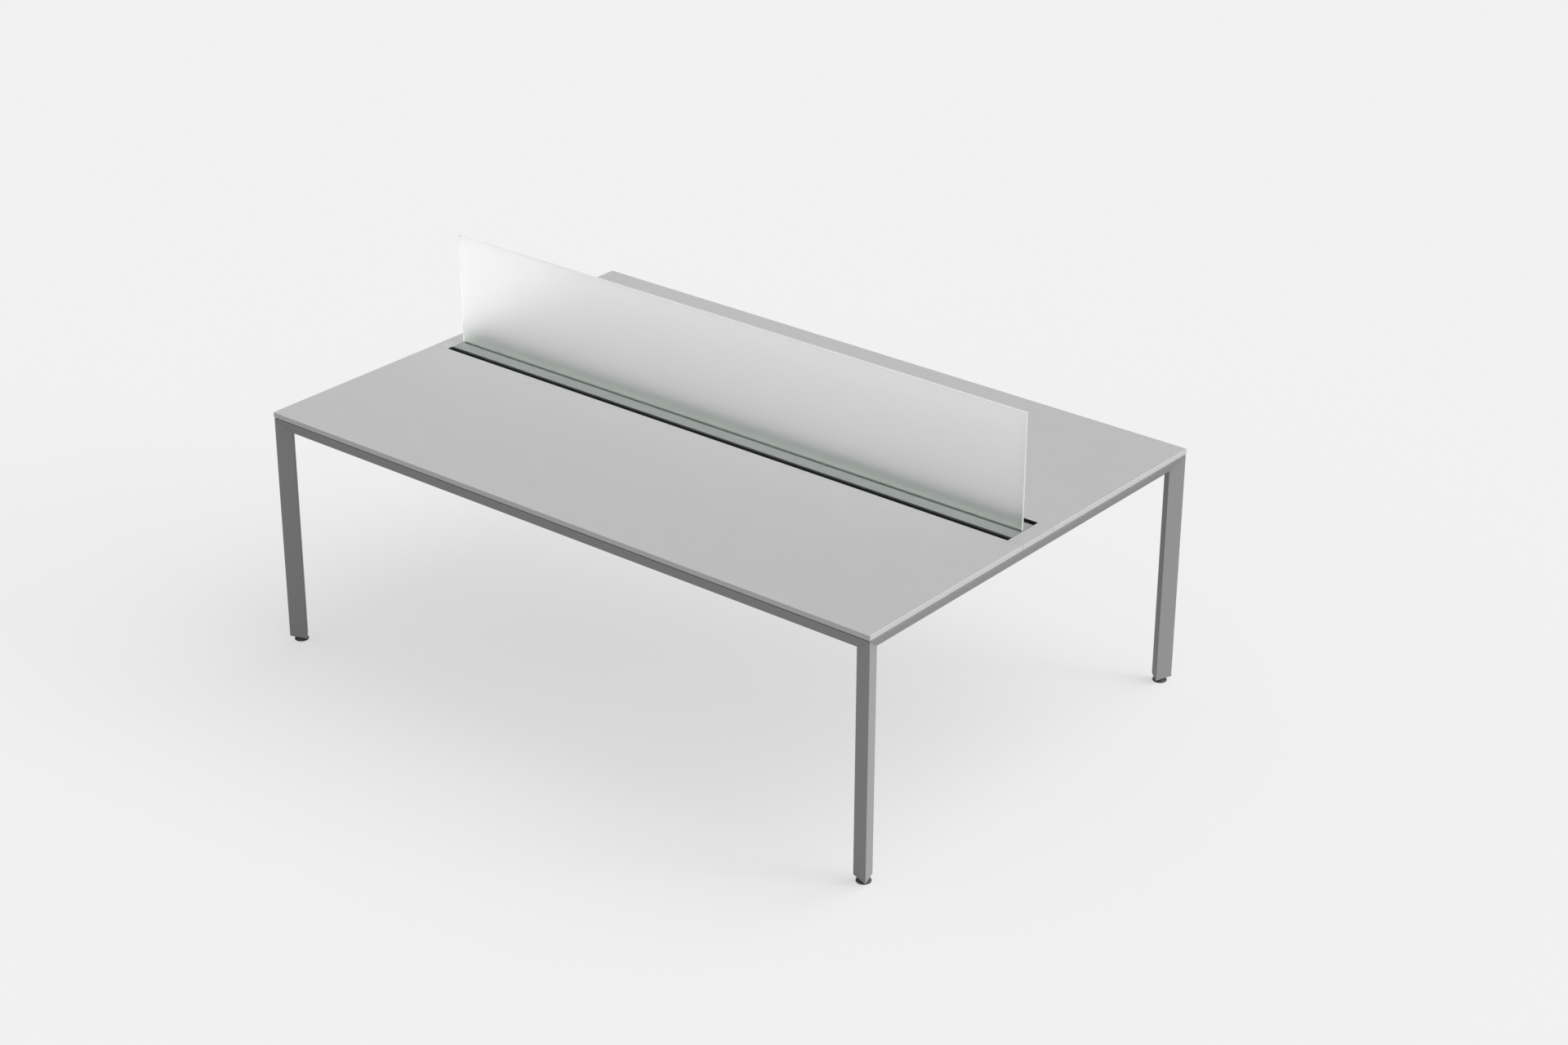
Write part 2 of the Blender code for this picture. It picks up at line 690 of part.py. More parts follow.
def make_fixing_plate(name, x, side_y, seat_edge, tongue_edge):
    """A steel plate between the frame and a worktop, with its two screws."""
    low_y = min(side_y * seat_edge, side_y * tongue_edge)
    high_y = max(side_y * seat_edge, side_y * tongue_edge)
    low = (x - PLATE_WIDTH / 2, low_y, RAIL_TOP + FIT_GAP)
    high = (x + PLATE_WIDTH / 2, high_y, BOARD_UNDERSIDE - FIT_GAP)
    plate = make_box(name, low, high, ZINC_STEEL)
    places = screw_places(x, side_y, seat_edge, tongue_edge)
    head_low = RAIL_TOP + FIT_GAP - SCREW_HEAD_HEIGHT
    head_high = RAIL_TOP + SHADOW_GAP / 2
    tip = BOARD_UNDERSIDE + SCREW_GRIP
    steps = SMALL_ROUND_STEPS
    heads = make_rods(name + "_heads", places, SCREW_HEAD_RADIUS, head_low, head_high, steps)
    shanks = make_rods(name + "_shanks", places, SCREW_RADIUS, head_high, tip, steps)
    apply_boolean(plate, make_cutter(heads), "UNION")
    apply_boolean(plate, make_cutter(shanks), "UNION")


def make_end_piece(end_name, side_x):
    """The piece of board that closes the middle gap at one end of the desk."""
    inner_x = side_x * (HALF_LENGTH - END_PIECE_LENGTH)
    outer_x = side_x * HALF_LENGTH
    half_width = HALF_GAP - BOARD_SEAM
    low = (min(inner_x, outer_x), -half_width, BOARD_UNDERSIDE)
    high = (max(inner_x, outer_x), half_width, DESK_HEIGHT)
    piece = make_box("end_piece_" + end_name, low, high, LAMINATE)
    bevel_edges(piece, ARRIS)


def make_end_pad(end_name, side_x):
    """The packing pad between an end rail and the end piece above it."""
    inner_x = side_x * (HALF_LENGTH - END_PIECE_LENGTH + END_PAD_MARGIN)
    outer_x = side_x * (HALF_LENGTH - END_PAD_MARGIN)
    half_width = HALF_GAP - END_PAD_MARGIN
    low = (min(inner_x, outer_x), -half_width, RAIL_TOP + FIT_GAP)
    high = (max(inner_x, outer_x), half_width, BOARD_UNDERSIDE - FIT_GAP)
    make_box("end_pad_" + end_name, low, high, BLACK_RUBBER)


def make_slot_trim(side_name, side_y):
    """The black angle that lines the worktop's side of a cable slot."""
    face = side_y * (HALF_GAP - FIT_GAP)
    slot_face = side_y * (HALF_GAP - FIT_GAP - TRIM_THICKNESS)
    flange_end = side_y * (HALF_GAP + TRIM_FLANGE)
    top = DESK_HEIGHT - TRIM_TOP_STEP
    flange_top = BOARD_UNDERSIDE - FIT_GAP
    flange_bottom = flange_top - TRIM_THICKNESS
    outline = [
        (slot_face, top),
        (face, top),
        (face, flange_top),
        (flange_end, flange_top),
        (flange_end, flange_bottom),
        (slot_face, flange_bottom),
    ]
    length = 2 * BAR_HALF_LENGTH
    name = "slot_trim_" + side_name
    extrude_outlines(name, [outline], length, BLACK_PLASTIC, (0, 0, 0), ALONG_X)


# The middle bar, the screen in it and the cable tray below


def make_centre_bar():
    """The extruded bar, with a groove for the glass between two hollow chambers.

    Its ends are notched from below, where it lies on the end rails.
    """
    half_width = BAR_WIDTH / 2
    half_groove = GROOVE_WIDTH / 2
    height = BAR_HEIGHT
    groove_floor = GROOVE_BOTTOM - BAR_BOTTOM
    outer = [
        (-half_width, 0),
        (half_width, 0),
        (half_width, height),
        (half_groove, height),
        (half_groove, groove_floor),
        (-half_groove, groove_floor),
        (-half_groove, height),
        (-half_width, height),
    ]
    chamber_inner = half_groove + BAR_WALL
    chamber_outer = half_width - BAR_WALL
    low = BAR_WALL
    high = height - BAR_WALL
    right_chamber = rectangle((chamber_inner, low), (chamber_outer, high))
    left_chamber = rectangle((-chamber_outer, low), (-chamber_inner, high))
    outlines = [round_outline(outer, BAR_CORNER_RADIUS), right_chamber, left_chamber]
    length = 2 * BAR_HALF_LENGTH
    bar = extrude_outlines("centre_bar", outlines, length, BAR_METAL, (0, 0, BAR_BOTTOM), ALONG_X)
    notch_start = HALF_LENGTH - LEG_REACH - END_PLATE_THICKNESS - BAR_NOTCH_CLEARANCE
    for end_name, side_x in END_SIDES:
        low_x = min(side_x * notch_start, side_x * HALF_LENGTH)
        high_x = max(side_x * notch_start, side_x * HALF_LENGTH)
        low = (low_x, -half_width - CUTTER_MARGIN, BAR_BOTTOM - CUTTER_MARGIN)
        high = (high_x, half_width + CUTTER_MARGIN, RAIL_TOP + FIT_GAP)
        notch = make_cutter(make_box("bar_notch_" + end_name, low, high, None))
        apply_boolean(bar, notch, "DIFFERENCE")
    smooth_round(bar)


def make_glass_screen():
    """The frosted pane, with its edges ground."""
    half = GLASS_THICKNESS / 2
    low = (-GLASS_HALF_LENGTH, -half, GLASS_BOTTOM)
    high = (GLASS_HALF_LENGTH, half, GLASS_TOP)
    glass = make_box("glass_screen", low, high, FROSTED_GLASS)
    bevel_edges(glass, GLASS_ARRIS)


def make_gasket(side_name, side_y):
    """The rubber strip that wedges one side of the glass in the bar's groove."""
    glass_face = GLASS_THICKNESS / 2 + FIT_GAP
    groove_wall = GROOVE_WIDTH / 2 - FIT_GAP
    lip_edge = GROOVE_WIDTH / 2 + GASKET_LIP
    lip_bottom = DESK_HEIGHT + FIT_GAP
    outline = [
        (side_y * glass_face, GLASS_BOTTOM),
        (side_y * groove_wall, GLASS_BOTTOM),
        (side_y * groove_wall, lip_bottom),
        (side_y * lip_edge, lip_bottom),
        (side_y * lip_edge, lip_bottom + GASKET_LIP_HEIGHT),
        (side_y * glass_face, DESK_HEIGHT + GASKET_CREST),
    ]
    length = 2 * GLASS_HALF_LENGTH
    name = "glass_gasket_" + side_name
    extrude_outlines(name, [outline], length, BLACK_RUBBER, (0, 0, 0), ALONG_X)


def make_setting_block(end_name, side_x):
    """The rubber block that carries the glass at a quarter of its length."""
    middle = side_x * GLASS_HALF_LENGTH / 2
    half_length = SETTING_BLOCK_LENGTH / 2
    half_width = GLASS_THICKNESS / 2
    low = (middle - half_length, -half_width, GROOVE_BOTTOM + FIT_GAP)
    high = (middle + half_length, half_width, GLASS_BOTTOM - FIT_GAP)
    make_box("setting_block_" + end_name, low, high, BLACK_RUBBER)


def make_bar_saddle(name, x):
    """A folded saddle that carries the bar and is fixed between the beams."""
    half_width = BEAM_INNER - FIT_GAP
    top = BAR_BOTTOM - FIT_GAP
    bottom = top - SADDLE_FLANGE
    path = [(-half_width, bottom), (-half_width, top), (half_width, top), (half_width, bottom)]
    fold_sheet(name, path, SADDLE_WIDTH, SADDLE_THICKNESS, BLACK_STEEL, (x, 0, 0))


def make_cable_tray():
    """The folded tray under the slots, hung by its flanges below the beams."""
    flange = BEAM_BOTTOM - FIT_GAP
    floor = flange - TRAY_DEPTH
    wall = BEAM_INNER - TRAY_MARGIN
    path = [
        (-BEAM_OUTER, flange),
        (-wall, flange),
        (-wall, floor),
        (wall, floor),
        (wall, flange),
        (BEAM_OUTER, flange),
    ]
    fold_sheet("cable_tray", path, TRAY_LENGTH, TRAY_THICKNESS, BLACK_STEEL, (0, 0, 0))


def build_frame():
    """Legs, rails and beams."""
    for corner, side_x, side_y in CORNERS:
        make_leg(corner, side_x, side_y)
        make_corner_arm(corner, side_x, side_y)
        make_rail_connector(corner, side_x, side_y)
    for side_name, side_y in LONG_SIDES:
        make_long_rail(side_name, side_y)
        make_beam(side_name, side_y)
    for end_name, side_x in END_SIDES:
        make_end_rail(end_name, side_x)
        make_beam_end_plate(end_name, side_x)


def build_feet():
    """The four levelling feet and the plugs that they screw into."""
    for corner, side_x, side_y in CORNERS:
        make_leg_plug(corner, side_x, side_y)
        make_foot_stud(corner, side_x, side_y)
        make_foot_base(corner, side_x, side_y)


def build_tops():
    """Worktops, end pieces and what they rest on."""
    for side_name, side_y in LONG_SIDES:
        make_worktop(side_name, side_y)
        make_edge_band(side_name, side_y)
        make_slot_trim(side_name, side_y)
    for name, x, side_y, seat_edge, tongue_edge in plate_places():
        make_fixing_plate(name, x, side_y, seat_edge, tongue_edge)
    for end_name, side_x in END_SIDES:
        make_end_piece(end_name, side_x)
        make_end_pad(end_name, side_x)


def build_middle():
    """The bar, the screen and the cable tray."""
    make_centre_bar()
    make_glass_screen()
    for side_name, side_y in LONG_SIDES:
        make_gasket(side_name, side_y)
    for end_name, side_x in END_SIDES:
        make_setting_block(end_name, side_x)
    for name, step in (("bar_saddle_left", -1), ("bar_saddle_middle", 0), ("bar_saddle_right", 1)):
        make_bar_saddle(name, step * SADDLE_SPACING)
    make_cable_tray()


build_frame()
build_feet()
build_tops()
build_middle()
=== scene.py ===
import math

import bmesh
import bpy
from mathutils import Matrix, Vector


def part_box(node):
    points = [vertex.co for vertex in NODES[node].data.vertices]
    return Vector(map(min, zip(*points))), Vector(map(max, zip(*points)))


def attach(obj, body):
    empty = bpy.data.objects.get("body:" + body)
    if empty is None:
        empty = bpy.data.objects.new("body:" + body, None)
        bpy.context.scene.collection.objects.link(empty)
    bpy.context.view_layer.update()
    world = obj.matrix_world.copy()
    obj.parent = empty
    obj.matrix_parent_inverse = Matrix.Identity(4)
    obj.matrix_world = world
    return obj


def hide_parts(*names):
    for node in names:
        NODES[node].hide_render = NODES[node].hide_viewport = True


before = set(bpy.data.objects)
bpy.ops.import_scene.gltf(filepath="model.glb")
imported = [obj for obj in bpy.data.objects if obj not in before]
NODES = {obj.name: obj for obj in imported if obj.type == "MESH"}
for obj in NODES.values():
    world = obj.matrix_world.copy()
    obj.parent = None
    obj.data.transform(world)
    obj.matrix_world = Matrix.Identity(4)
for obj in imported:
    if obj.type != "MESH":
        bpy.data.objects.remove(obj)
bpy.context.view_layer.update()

# The camera, solved from the corners of the desk in the picture
CAMERA_PLACE = (5.32547, -6.32941, 4.44952)
CAMERA_TURN = 0.678701
CAMERA_TILT = 0.449994
CAMERA_ROLL = 0.00507786
CAMERA_LENS = 71.96

# The studio: a pale floor, an even sky, a wide soft lamp above and a smaller one at the side
BACKGROUND = 0.88
FLOOR_SIZE = 80
FLOOR_SHADE = 0.80
FLOOR_BOUNCE = 0.34
FLOOR_LIFT = 0.66
SKY_LEVEL = 0.55
LAMP_DISTANCE = 6
KEY_LEVEL = 0.54
KEY_WAY = (0.40, 0.37, 0.84)
KEY_SPREAD = math.radians(60)
SIDE_LEVEL = 0.32
SIDE_WAY = (0.84, 0.42, 0.34)
SIDE_SPREAD = math.radians(20)

# Corners, long sides and ends of the desk, with their signs in X and Y
CORNERS = (
    ("front_left", -1, -1),
    ("front_right", 1, -1),
    ("back_left", -1, 1),
    ("back_right", 1, 1),
)
SIDES = (("front", -1), ("back", 1))
ENDS = (("left", -1), ("right", 1))

# How far a direction has to run along an axis, by its share of that axis
X, Y, Z = 0, 1, 2
SLOPING = 0.7
MOSTLY = 0.9
STRICTLY = 0.99
EXACTLY = 0.999

# Angles that count as sharp or smooth, and how near each other points are merged
SHARP_ANGLE = math.radians(50)
SMOOTH_ANGLE = math.radians(40)
MERGE_DISTANCE = 0.00001
COPY_MERGE_DISTANCE = 0.00002

# Sizes and places that the CAD model gives, in metres
HALF_LENGTH = 1.100
HALF_GAP = 0.072
HALF_WIDTH = 0.742
DESK_HEIGHT = 0.750
BOARD_UNDERSIDE = 0.734
RAIL_TOP = 0.731
GLASS_TOP = 1.100
GLASS_BOTTOM = 0.7325
GLASS_HALF_LENGTH = 1.048
GLASS_HALF_THICKNESS = 0.004
BAR_HALF_LENGTH = 1.049
END_PIECE_LENGTH = 0.050
BOARD_SEAM = 0.0008
BAND_THICKNESS = 0.0016
LEG_REACH = 0.058
LEG_INSET = 0.020
RAIL_DROP = 0.040
SLOPE_LENGTH = math.hypot(LEG_REACH - LEG_INSET, RAIL_DROP)
FIT_GAP = 0.0003
END_PLATE_THICKNESS = 0.004
CORNER_ARM_LENGTH = 0.075
PLATE_LOW = 0.7313
PLATE_HIGH = 0.7337

# Folds of the saddles and the tray: the outer edge of each in Y and Z, then the inner one,
# and how near a fold an edge is counted as on it
SADDLE_FOLDS = (((0.0817, 0.7237), (0.0787, 0.7207)),)
TRAY_FOLDS = (
    ((0.0760, 0.6907), (0.0775, 0.6892)),
    ((0.0775, 0.6292), (0.0760, 0.6307)),
)
FOLD_REACH = 0.0002

# The pane and its gaskets
PANE_CORNER = 0.002
PANE_EASE = 0.0008
GASKET_NEAR = 0.0043
GASKET_FAR = 0.0062
GASKET_RISE = 0.0008
GASKET_EASE = 0.0006

# The black strips on the bar's sides and at the ends of the cable slots: painted shade, dark
# sheets that make the slots as dark as their shadowed depths
SHADE_LINING_NEAR = 0.0503
SHADE_LINING_FAR = 0.0518
SHADE_LINING_LOW = 0.7320
SHADE_LINING_DROP = 0.0045
SHADE_LINING_EASE = 0.0005
SLOT_END_NEAR = 0.0522
SLOT_END_FAR = 0.0698
SLOT_END_LOW = 0.7345
SLOT_END_DROP = 0.0012
SLOT_END_THICKNESS = 0.0009
SLOT_END_EASE = 0.0003
TRIM_EASE = 0.0004

# The tubes and the plates at the beams' ends
TUBE_EASE = 0.0006
TUBE_MITRE_EASE = 0.0001
END_PLATE_CORNER = 0.006
END_PLATE_EASE = 0.0006
SEAM_SCREW_STEP = 0.020
BEAM_BOLT_PLACES = (-0.055, 0.055)

# The edges of the worktops and end pieces, and how near a side an edge is counted as on it
BAND_CORNER = 0.002
BAND_EASE = 0.0009
BAND_REACH = 0.0006
SEAM_EASE = 0.0004

# The plates that carry the worktops
PLATE_CORNER = 0.005
PLATE_EASE = 0.0004
PLATE_SCREW_SETBACK = 0.018
PLATE_SCREW_STEPS = (-0.013, 0.013)

# The saddles
SADDLE_OUTER_BEND = 0.0045
SADDLE_INNER_BEND = 0.0015
SADDLE_CORNER = 0.005
SADDLE_CORNERS_BELOW = 0.7045
SADDLE_CORNERS_BEYOND = 0.078
SADDLE_SCREW_Y = 0.0787
SADDLE_SCREW_HEIGHT = 0.7115
SADDLE_SCREW_STEPS = (-0.015, 0.015)

# The cable tray and its covers
TRAY_OUTER_BEND = 0.0035
TRAY_INNER_BEND = 0.0020
TRAY_CORNER = 0.006
TRAY_CORNERS_BEYOND = 0.1
TRAY_SLOT_ROWS = (-0.048, -0.016, 0.016, 0.048)
TRAY_SLOT_REACH = 0.880
TRAY_SLOT_COUNT = 23
TRAY_SLOT_HALF_LENGTH = 0.022
TRAY_SLOT_HALF_WIDTH = 0.004
TRAY_SLOT_ROUNDING = 0.0039
TRAY_CUT_LOW = 0.6262
TRAY_CUT_HIGH = 0.6337
TRAY_SCREW_PLACES = (-0.90, -0.45, 0.45, 0.90)
TRAY_SCREW_Y = 0.0945
TRAY_FLANGE_LOW = 0.6892
TRAY_FLANGE_HIGH = 0.6907
TRAY_COVER_INNER = 0.9520
TRAY_COVER_OUTER = 1.0450
TRAY_COVER_HALF_WIDTH = 0.1030
TRAY_COVER_LIP = 0.0070
TRAY_COVER_EASE = 0.0004

# The feet: a rim, a slope and a crown, each narrower than the one below it
FOOT_STEPS = 96
FOOT_RADIUS = 0.0200
FOOT_RIM = 0.0036
FOOT_SLOPE = 0.0034
FOOT_CROWN = 0.0008
FOOT_SLOPE_SHARE = 0.66
FOOT_CROWN_SHARE = 0.90
FOOT_EASE = 0.0010
FOOT_RIB_STEPS = 4
FOOT_RIB_DEPTH = 0.0014
FOOT_RIB_MARGIN = 0.0001
STUD_RADIUS = 0.005
STUD_PITCH = 0.0015
STUD_DEPTH = 0.0008
STUD_STEPS = 24
STUD_LOW = 0.003
STUD_HIGH = 0.058

# Fasteners: radius and height of the head, then of the washer or the size of the key
BEAM_BOLT = (0.0075, 0.0053, 0.0080, 0.0016)
BUTTON_SCREW = (0.0052, 0.0028, 0.0030)
WOOD_SCREW = (0.0045, 0.0030, 0.0025)

# Shades of the finishes
LAMINATE_SHADE = 0.408
EDGE_SHADE = 0.60
FRAME_SHADE = 0.335
BAR_SHADE = (0.288, 0.304, 0.297)
BAR_METAL_SHARE = 0.5
FOOT_SHADE = 0.10
RUBBER_SHADE = 0.02
PLASTIC_SHADE = 0.03
STEEL_SHADE = 0.035
SEAL_SHADE = (0.095, 0.112, 0.104)
ZINC_SHADE = (0.55, 0.56, 0.57)
ZINC_COOL = (0.52, 0.53, 0.55)
ZINC_WARM = (0.58, 0.585, 0.575)

# The glass: how strongly it bends light, then the clearness and shades of its edge, its shadow
GLASS_BEND = 1.3
GLASS_EDGE_CLARITY = 0.45
GLASS_EDGE_PALE = (0.87, 0.91, 0.89)
GLASS_EDGE_GREEN = (0.86, 0.94, 0.90)
GLASS_SHADOW = (0.82, 0.84, 0.83)

# Painted shade on the glass: above a thin paler strip at the worktop it is darker and greener,
# most in its lowest sixth where the shaded slot and bar lie behind it, fading to white by half its
# height: share of its height, then colour
GLASS_PAINTED_SHADE = (
    (0.00, (0.96, 1.00, 0.97)),
    (0.02, (0.86, 0.92, 0.88)),
    (0.06, (0.84, 0.88, 0.85)),
    (0.15, (0.885, 0.89, 0.885)),
    (0.26, (0.945, 0.943, 0.943)),
    (0.40, (0.985, 0.985, 0.985)),
    (0.55, (1.0, 1.0, 1.0)),
)

# The range that a noise pattern mostly stays in
PATTERN_LOW = 0.3
PATTERN_HIGH = 0.7


# Parts of the materials


def combine(tree, operation, *values):
    """A number worked out from others, each of them plain or following a pattern."""
    node = tree.nodes.new("ShaderNodeMath")
    node.operation = operation
    for socket, value in zip(node.inputs, values):
        if isinstance(value, float):
            socket.default_value = value
        else:
            tree.links.new(value, socket)
    return node.outputs[0]


def mix_shaders(tree, share, first, second):
    """A blend of two shaders, with the share of the second."""
    mix = tree.nodes.new("ShaderNodeMixShader")
    tree.links.new(share, mix.inputs["Fac"])
    tree.links.new(first, mix.inputs[1])
    tree.links.new(second, mix.inputs[2])
    return mix.outputs[0]


def even_light(tree, kind, level, strength=1.0):
    """A background or a glow of one grey."""
    light = tree.nodes.new(kind)
    light.inputs["Color"].default_value = (*grey(level), 1)
    light.inputs["Strength"].default_value = strength
    return light.outputs[0]


def own_place(tree):
    """A piece's own coordinates, in metres."""
    return tree.nodes.new("ShaderNodeTexCoord").outputs["Object"]


def own_axis(tree, axis):
    """One of a piece's own coordinates, in metres."""
    split = tree.nodes.new("ShaderNodeSeparateXYZ")
    tree.links.new(own_place(tree), split.inputs[0])
    return split.outputs[axis]


def grain(tree, scale, detail=2.0, stretch=(1, 1, 1)):
    """A noise pattern on the piece's own coordinates, in repeats per metre."""
    mapping = tree.nodes.new("ShaderNodeMapping")
    mapping.inputs["Scale"].default_value = stretch
    noise = tree.nodes.new("ShaderNodeTexNoise")
    noise.inputs["Scale"].default_value = scale
    noise.inputs["Detail"].default_value = detail
    tree.links.new(own_place(tree), mapping.inputs["Vector"])
    tree.links.new(mapping.outputs["Vector"], noise.inputs["Vector"])
    return noise.outputs["Fac"]


def cells(tree, scale):
    """A fine pattern of cells, each with three numbers of its own, in cells per metre."""
    pattern = tree.nodes.new("ShaderNodeTexVoronoi")
    pattern.inputs["Scale"].default_value = scale
    tree.links.new(own_place(tree), pattern.inputs["Vector"])
    split = tree.nodes.new("ShaderNodeSeparateColor")
    tree.links.new(pattern.outputs["Color"], split.inputs[0])
    return split.outputs


def spread_between(tree, source, low, high, start=PATTERN_LOW, end=PATTERN_HIGH):
    """A number from low to high, as the source goes from start to end."""
    ramp = tree.nodes.new("ShaderNodeMapRange")
    ramp.inputs["From Min"].default_value = start
    ramp.inputs["From Max"].default_value = end
    ramp.inputs["To Min"].default_value = low
    ramp.inputs["To Max"].default_value = high
    tree.links.new(source, ramp.inputs["Value"])
    return ramp.outputs["Result"]


def shade_between(tree, source, first, second):
    """A colour that follows a pattern between two shades."""
    mix = tree.nodes.new("ShaderNodeMix")
    mix.data_type = "RGBA"
    mix.inputs["A"].default_value = (*first, 1)
    mix.inputs["B"].default_value = (*second, 1)
    tree.links.new(source, mix.inputs["Factor"])
    return mix.outputs["Result"]


def bump_from(tree, shader, source, height):
    """Fine relief of a pattern on the surface, its height in metres."""
    bump = tree.nodes.new("ShaderNodeBump")
    bump.inputs["Strength"].default_value = 1.0
    bump.inputs["Distance"].default_value = height
    tree.links.new(source, bump.inputs["Height"])
    tree.links.new(bump.outputs["Normal"], shader.inputs["Normal"])


def grey(level):
    """A neutral colour."""
    return (level, level, level)


def colour_of(shade):
    """A colour from one grey level or from three numbers."""
    return grey(shade) if isinstance(shade, float) else shade


def start_finish(name, shade, roughness, metallic=0.0):
    """A new material with its main values."""
    material = bpy.data.materials.new(name)
    material.use_nodes = True
    tree = material.node_tree
    shader = tree.nodes["Principled BSDF"]
    shader.inputs["Base Color"].default_value = (*colour_of(shade), 1)
    shader.inputs["Roughness"].default_value = roughness
    shader.inputs["Metallic"].default_value = metallic
    return material, tree, shader


# The studio


def place_camera():
    """The camera at the picture's viewing angle."""
    lens = bpy.data.cameras.new("camera")
    lens.lens = CAMERA_LENS
    lens.sensor_width = 36
    lens.clip_end = 200
    camera = bpy.data.objects.new("camera", lens)
    bpy.context.scene.collection.objects.link(camera)
    turn = Matrix.Rotation(CAMERA_TURN, 4, "Z")
    tilt = Matrix.Rotation(math.pi / 2 - CAMERA_TILT, 4, "X")
    roll = Matrix.Rotation(CAMERA_ROLL, 4, "Z")
    camera.matrix_world = Matrix.Translation(CAMERA_PLACE) @ turn @ tilt @ roll
    bpy.context.scene.camera = camera


def seen_rays(tree):
    """One for rays that the camera, a gloss or a glass sees by, and zero for soft light."""
    path = tree.nodes.new("ShaderNodeLightPath")
    seen = combine(tree, "MAXIMUM", path.outputs["Is Camera Ray"], path.outputs["Is Glossy Ray"])
    seen = combine(tree, "MAXIMUM", seen, path.outputs["Is Transmission Ray"])
    direct = combine(tree, "LESS_THAN", path.outputs["Diffuse Depth"], 0.5)
    return combine(tree, "MULTIPLY", seen, direct)


def light_sky():
    """An even sky that lights the desk softly and shows as the pale background."""
    world = bpy.data.worlds.new("studio")
    world.use_nodes = True
    bpy.context.scene.world = world
    tree = world.node_tree
    tree.nodes.clear()
    output = tree.nodes.new("ShaderNodeOutputWorld")
    soft = even_light(tree, "ShaderNodeBackground", 1.0, SKY_LEVEL)
    shown = even_light(tree, "ShaderNodeBackground", BACKGROUND)
    tree.links.new(mix_shaders(tree, seen_rays(tree), soft, shown), output.inputs["Surface"])


def hang_lamp(name, way, level, spread):
    """A lamp so far away that it lights the whole floor alike."""
    lamp = bpy.data.lights.new(name, "SUN")
    lamp.energy = level * math.pi
    lamp.angle = spread
    holder = bpy.data.objects.new(name, lamp)
    bpy.context.scene.collection.objects.link(holder)
    holder.location = Vector(way) * LAMP_DISTANCE
    holder.rotation_mode = "QUATERNION"
    holder.rotation_quaternion = Vector(way).to_track_quat("Z", "Y")


def lay_floor():
    """The pale studio floor, which throws less light up at the desk than it shows."""
    bpy.ops.mesh.primitive_plane_add(size=FLOOR_SIZE, location=(0, 0, 0))
    floor = bpy.context.object
    floor.name = "studio_floor"
    material, tree, shader = start_finish("studio_floor", FLOOR_SHADE, 0.9)
    shader.inputs["Specular IOR Level"].default_value = 0.0
    seen = seen_rays(tree)
    dull = tree.nodes.new("ShaderNodeBsdfDiffuse")
    dull.inputs["Color"].default_value = (*grey(FLOOR_BOUNCE), 1)
    lit = mix_shaders(tree, seen, dull.outputs[0], shader.outputs[0])
    even = even_light(tree, "ShaderNodeEmission", BACKGROUND)
    whole = mix_shaders(tree, combine(tree, "MULTIPLY", seen, FLOOR_LIFT), lit, even)
    tree.links.new(whole, tree.nodes["Material Output"].inputs["Surface"])
    floor.data.materials.append(material)


# Finishes


def textured(name, shade, darker, roughness, scale, relief):
    """A finish with one fine pattern in its colour, its gloss and its surface.

    The shade is a grey or three numbers, the roughness a low and a high value, the scale in
    repeats per metre, and the relief in metres.
    """
    material, tree, shader = start_finish(name, shade, roughness[0])
    colour = colour_of(shade)
    deep = tuple(darker * part for part in colour)
    pattern = grain(tree, scale, detail=3.0)
    level = spread_between(tree, pattern, 0, 1)
    tree.links.new(shade_between(tree, level, deep, colour), shader.inputs["Base Color"])
    tree.links.new(spread_between(tree, pattern, *roughness), shader.inputs["Roughness"])
    bump_from(tree, shader, pattern, relief)
    return material


def laminate():
    """Melamine laminate: a fine speckle over a faint cloud, with a pearl-like surface."""
    material, tree, shader = start_finish("grey_laminate", LAMINATE_SHADE, 0.37)
    shader.inputs["Specular IOR Level"].default_value = 0.65
    speckle = spread_between(tree, grain(tree, scale=1500), low=0.965, high=1.02)
    cloud = spread_between(tree, grain(tree, scale=9), low=0.99, high=1.01)
    shade = tree.nodes.new("ShaderNodeMix")
    shade.data_type = "RGBA"
    shade.inputs["A"].default_value = (0, 0, 0, 1)
    shade.inputs["B"].default_value = (*grey(LAMINATE_SHADE), 1)
    shade.clamp_factor = False
    tree.links.new(combine(tree, "MULTIPLY", speckle, cloud), shade.inputs["Factor"])
    tree.links.new(shade.outputs["Result"], shader.inputs["Base Color"])
    pearl = grain(tree, scale=700, detail=3.0)
    gloss = spread_between(tree, pearl, low=0.33, high=0.41)
    tree.links.new(gloss, shader.inputs["Roughness"])
    bump_from(tree, shader, pearl, height=0.000015)
    return material


def powder_coat(name, shade, flake, gloss):
    """Stove-enamelled steel: a slight orange peel with a fine flake in the colour."""
    material, tree, shader = start_finish(name, shade, 0.5)
    shader.inputs["Specular IOR Level"].default_value = gloss
    flakes = cells(tree, scale=2600)
    colour = shade_between(tree, flakes[0], grey(shade - flake), grey(shade + flake))
    tree.links.new(colour, shader.inputs["Base Color"])
    peel = grain(tree, scale=420)
    tree.links.new(spread_between(tree, peel, low=0.48, high=0.6), shader.inputs["Roughness"])
    bump_from(tree, shader, peel, height=0.00004)
    return material


def brushed_bar():
    """Anodised aluminium with fine brush lines along the bar."""
    material, tree, shader = start_finish("satin_aluminium", BAR_SHADE, 0.4, BAR_METAL_SHARE)
    lines = grain(tree, scale=2400, detail=3.0, stretch=(0.006, 1, 1))
    patches = grain(tree, scale=14, detail=1.0)
    deep = tuple(0.9 * part for part in BAR_SHADE)
    level = spread_between(tree, lines, 0, 1)
    tree.links.new(shade_between(tree, level, deep, BAR_SHADE), shader.inputs["Base Color"])
    gloss = spread_between(tree, lines, low=0.34, high=0.44)
    blend = combine(tree, "MULTIPLY_ADD", patches, 0.08, gloss)
    tree.links.new(blend, shader.inputs["Roughness"])
    bump_from(tree, shader, lines, height=0.000006)
    return material


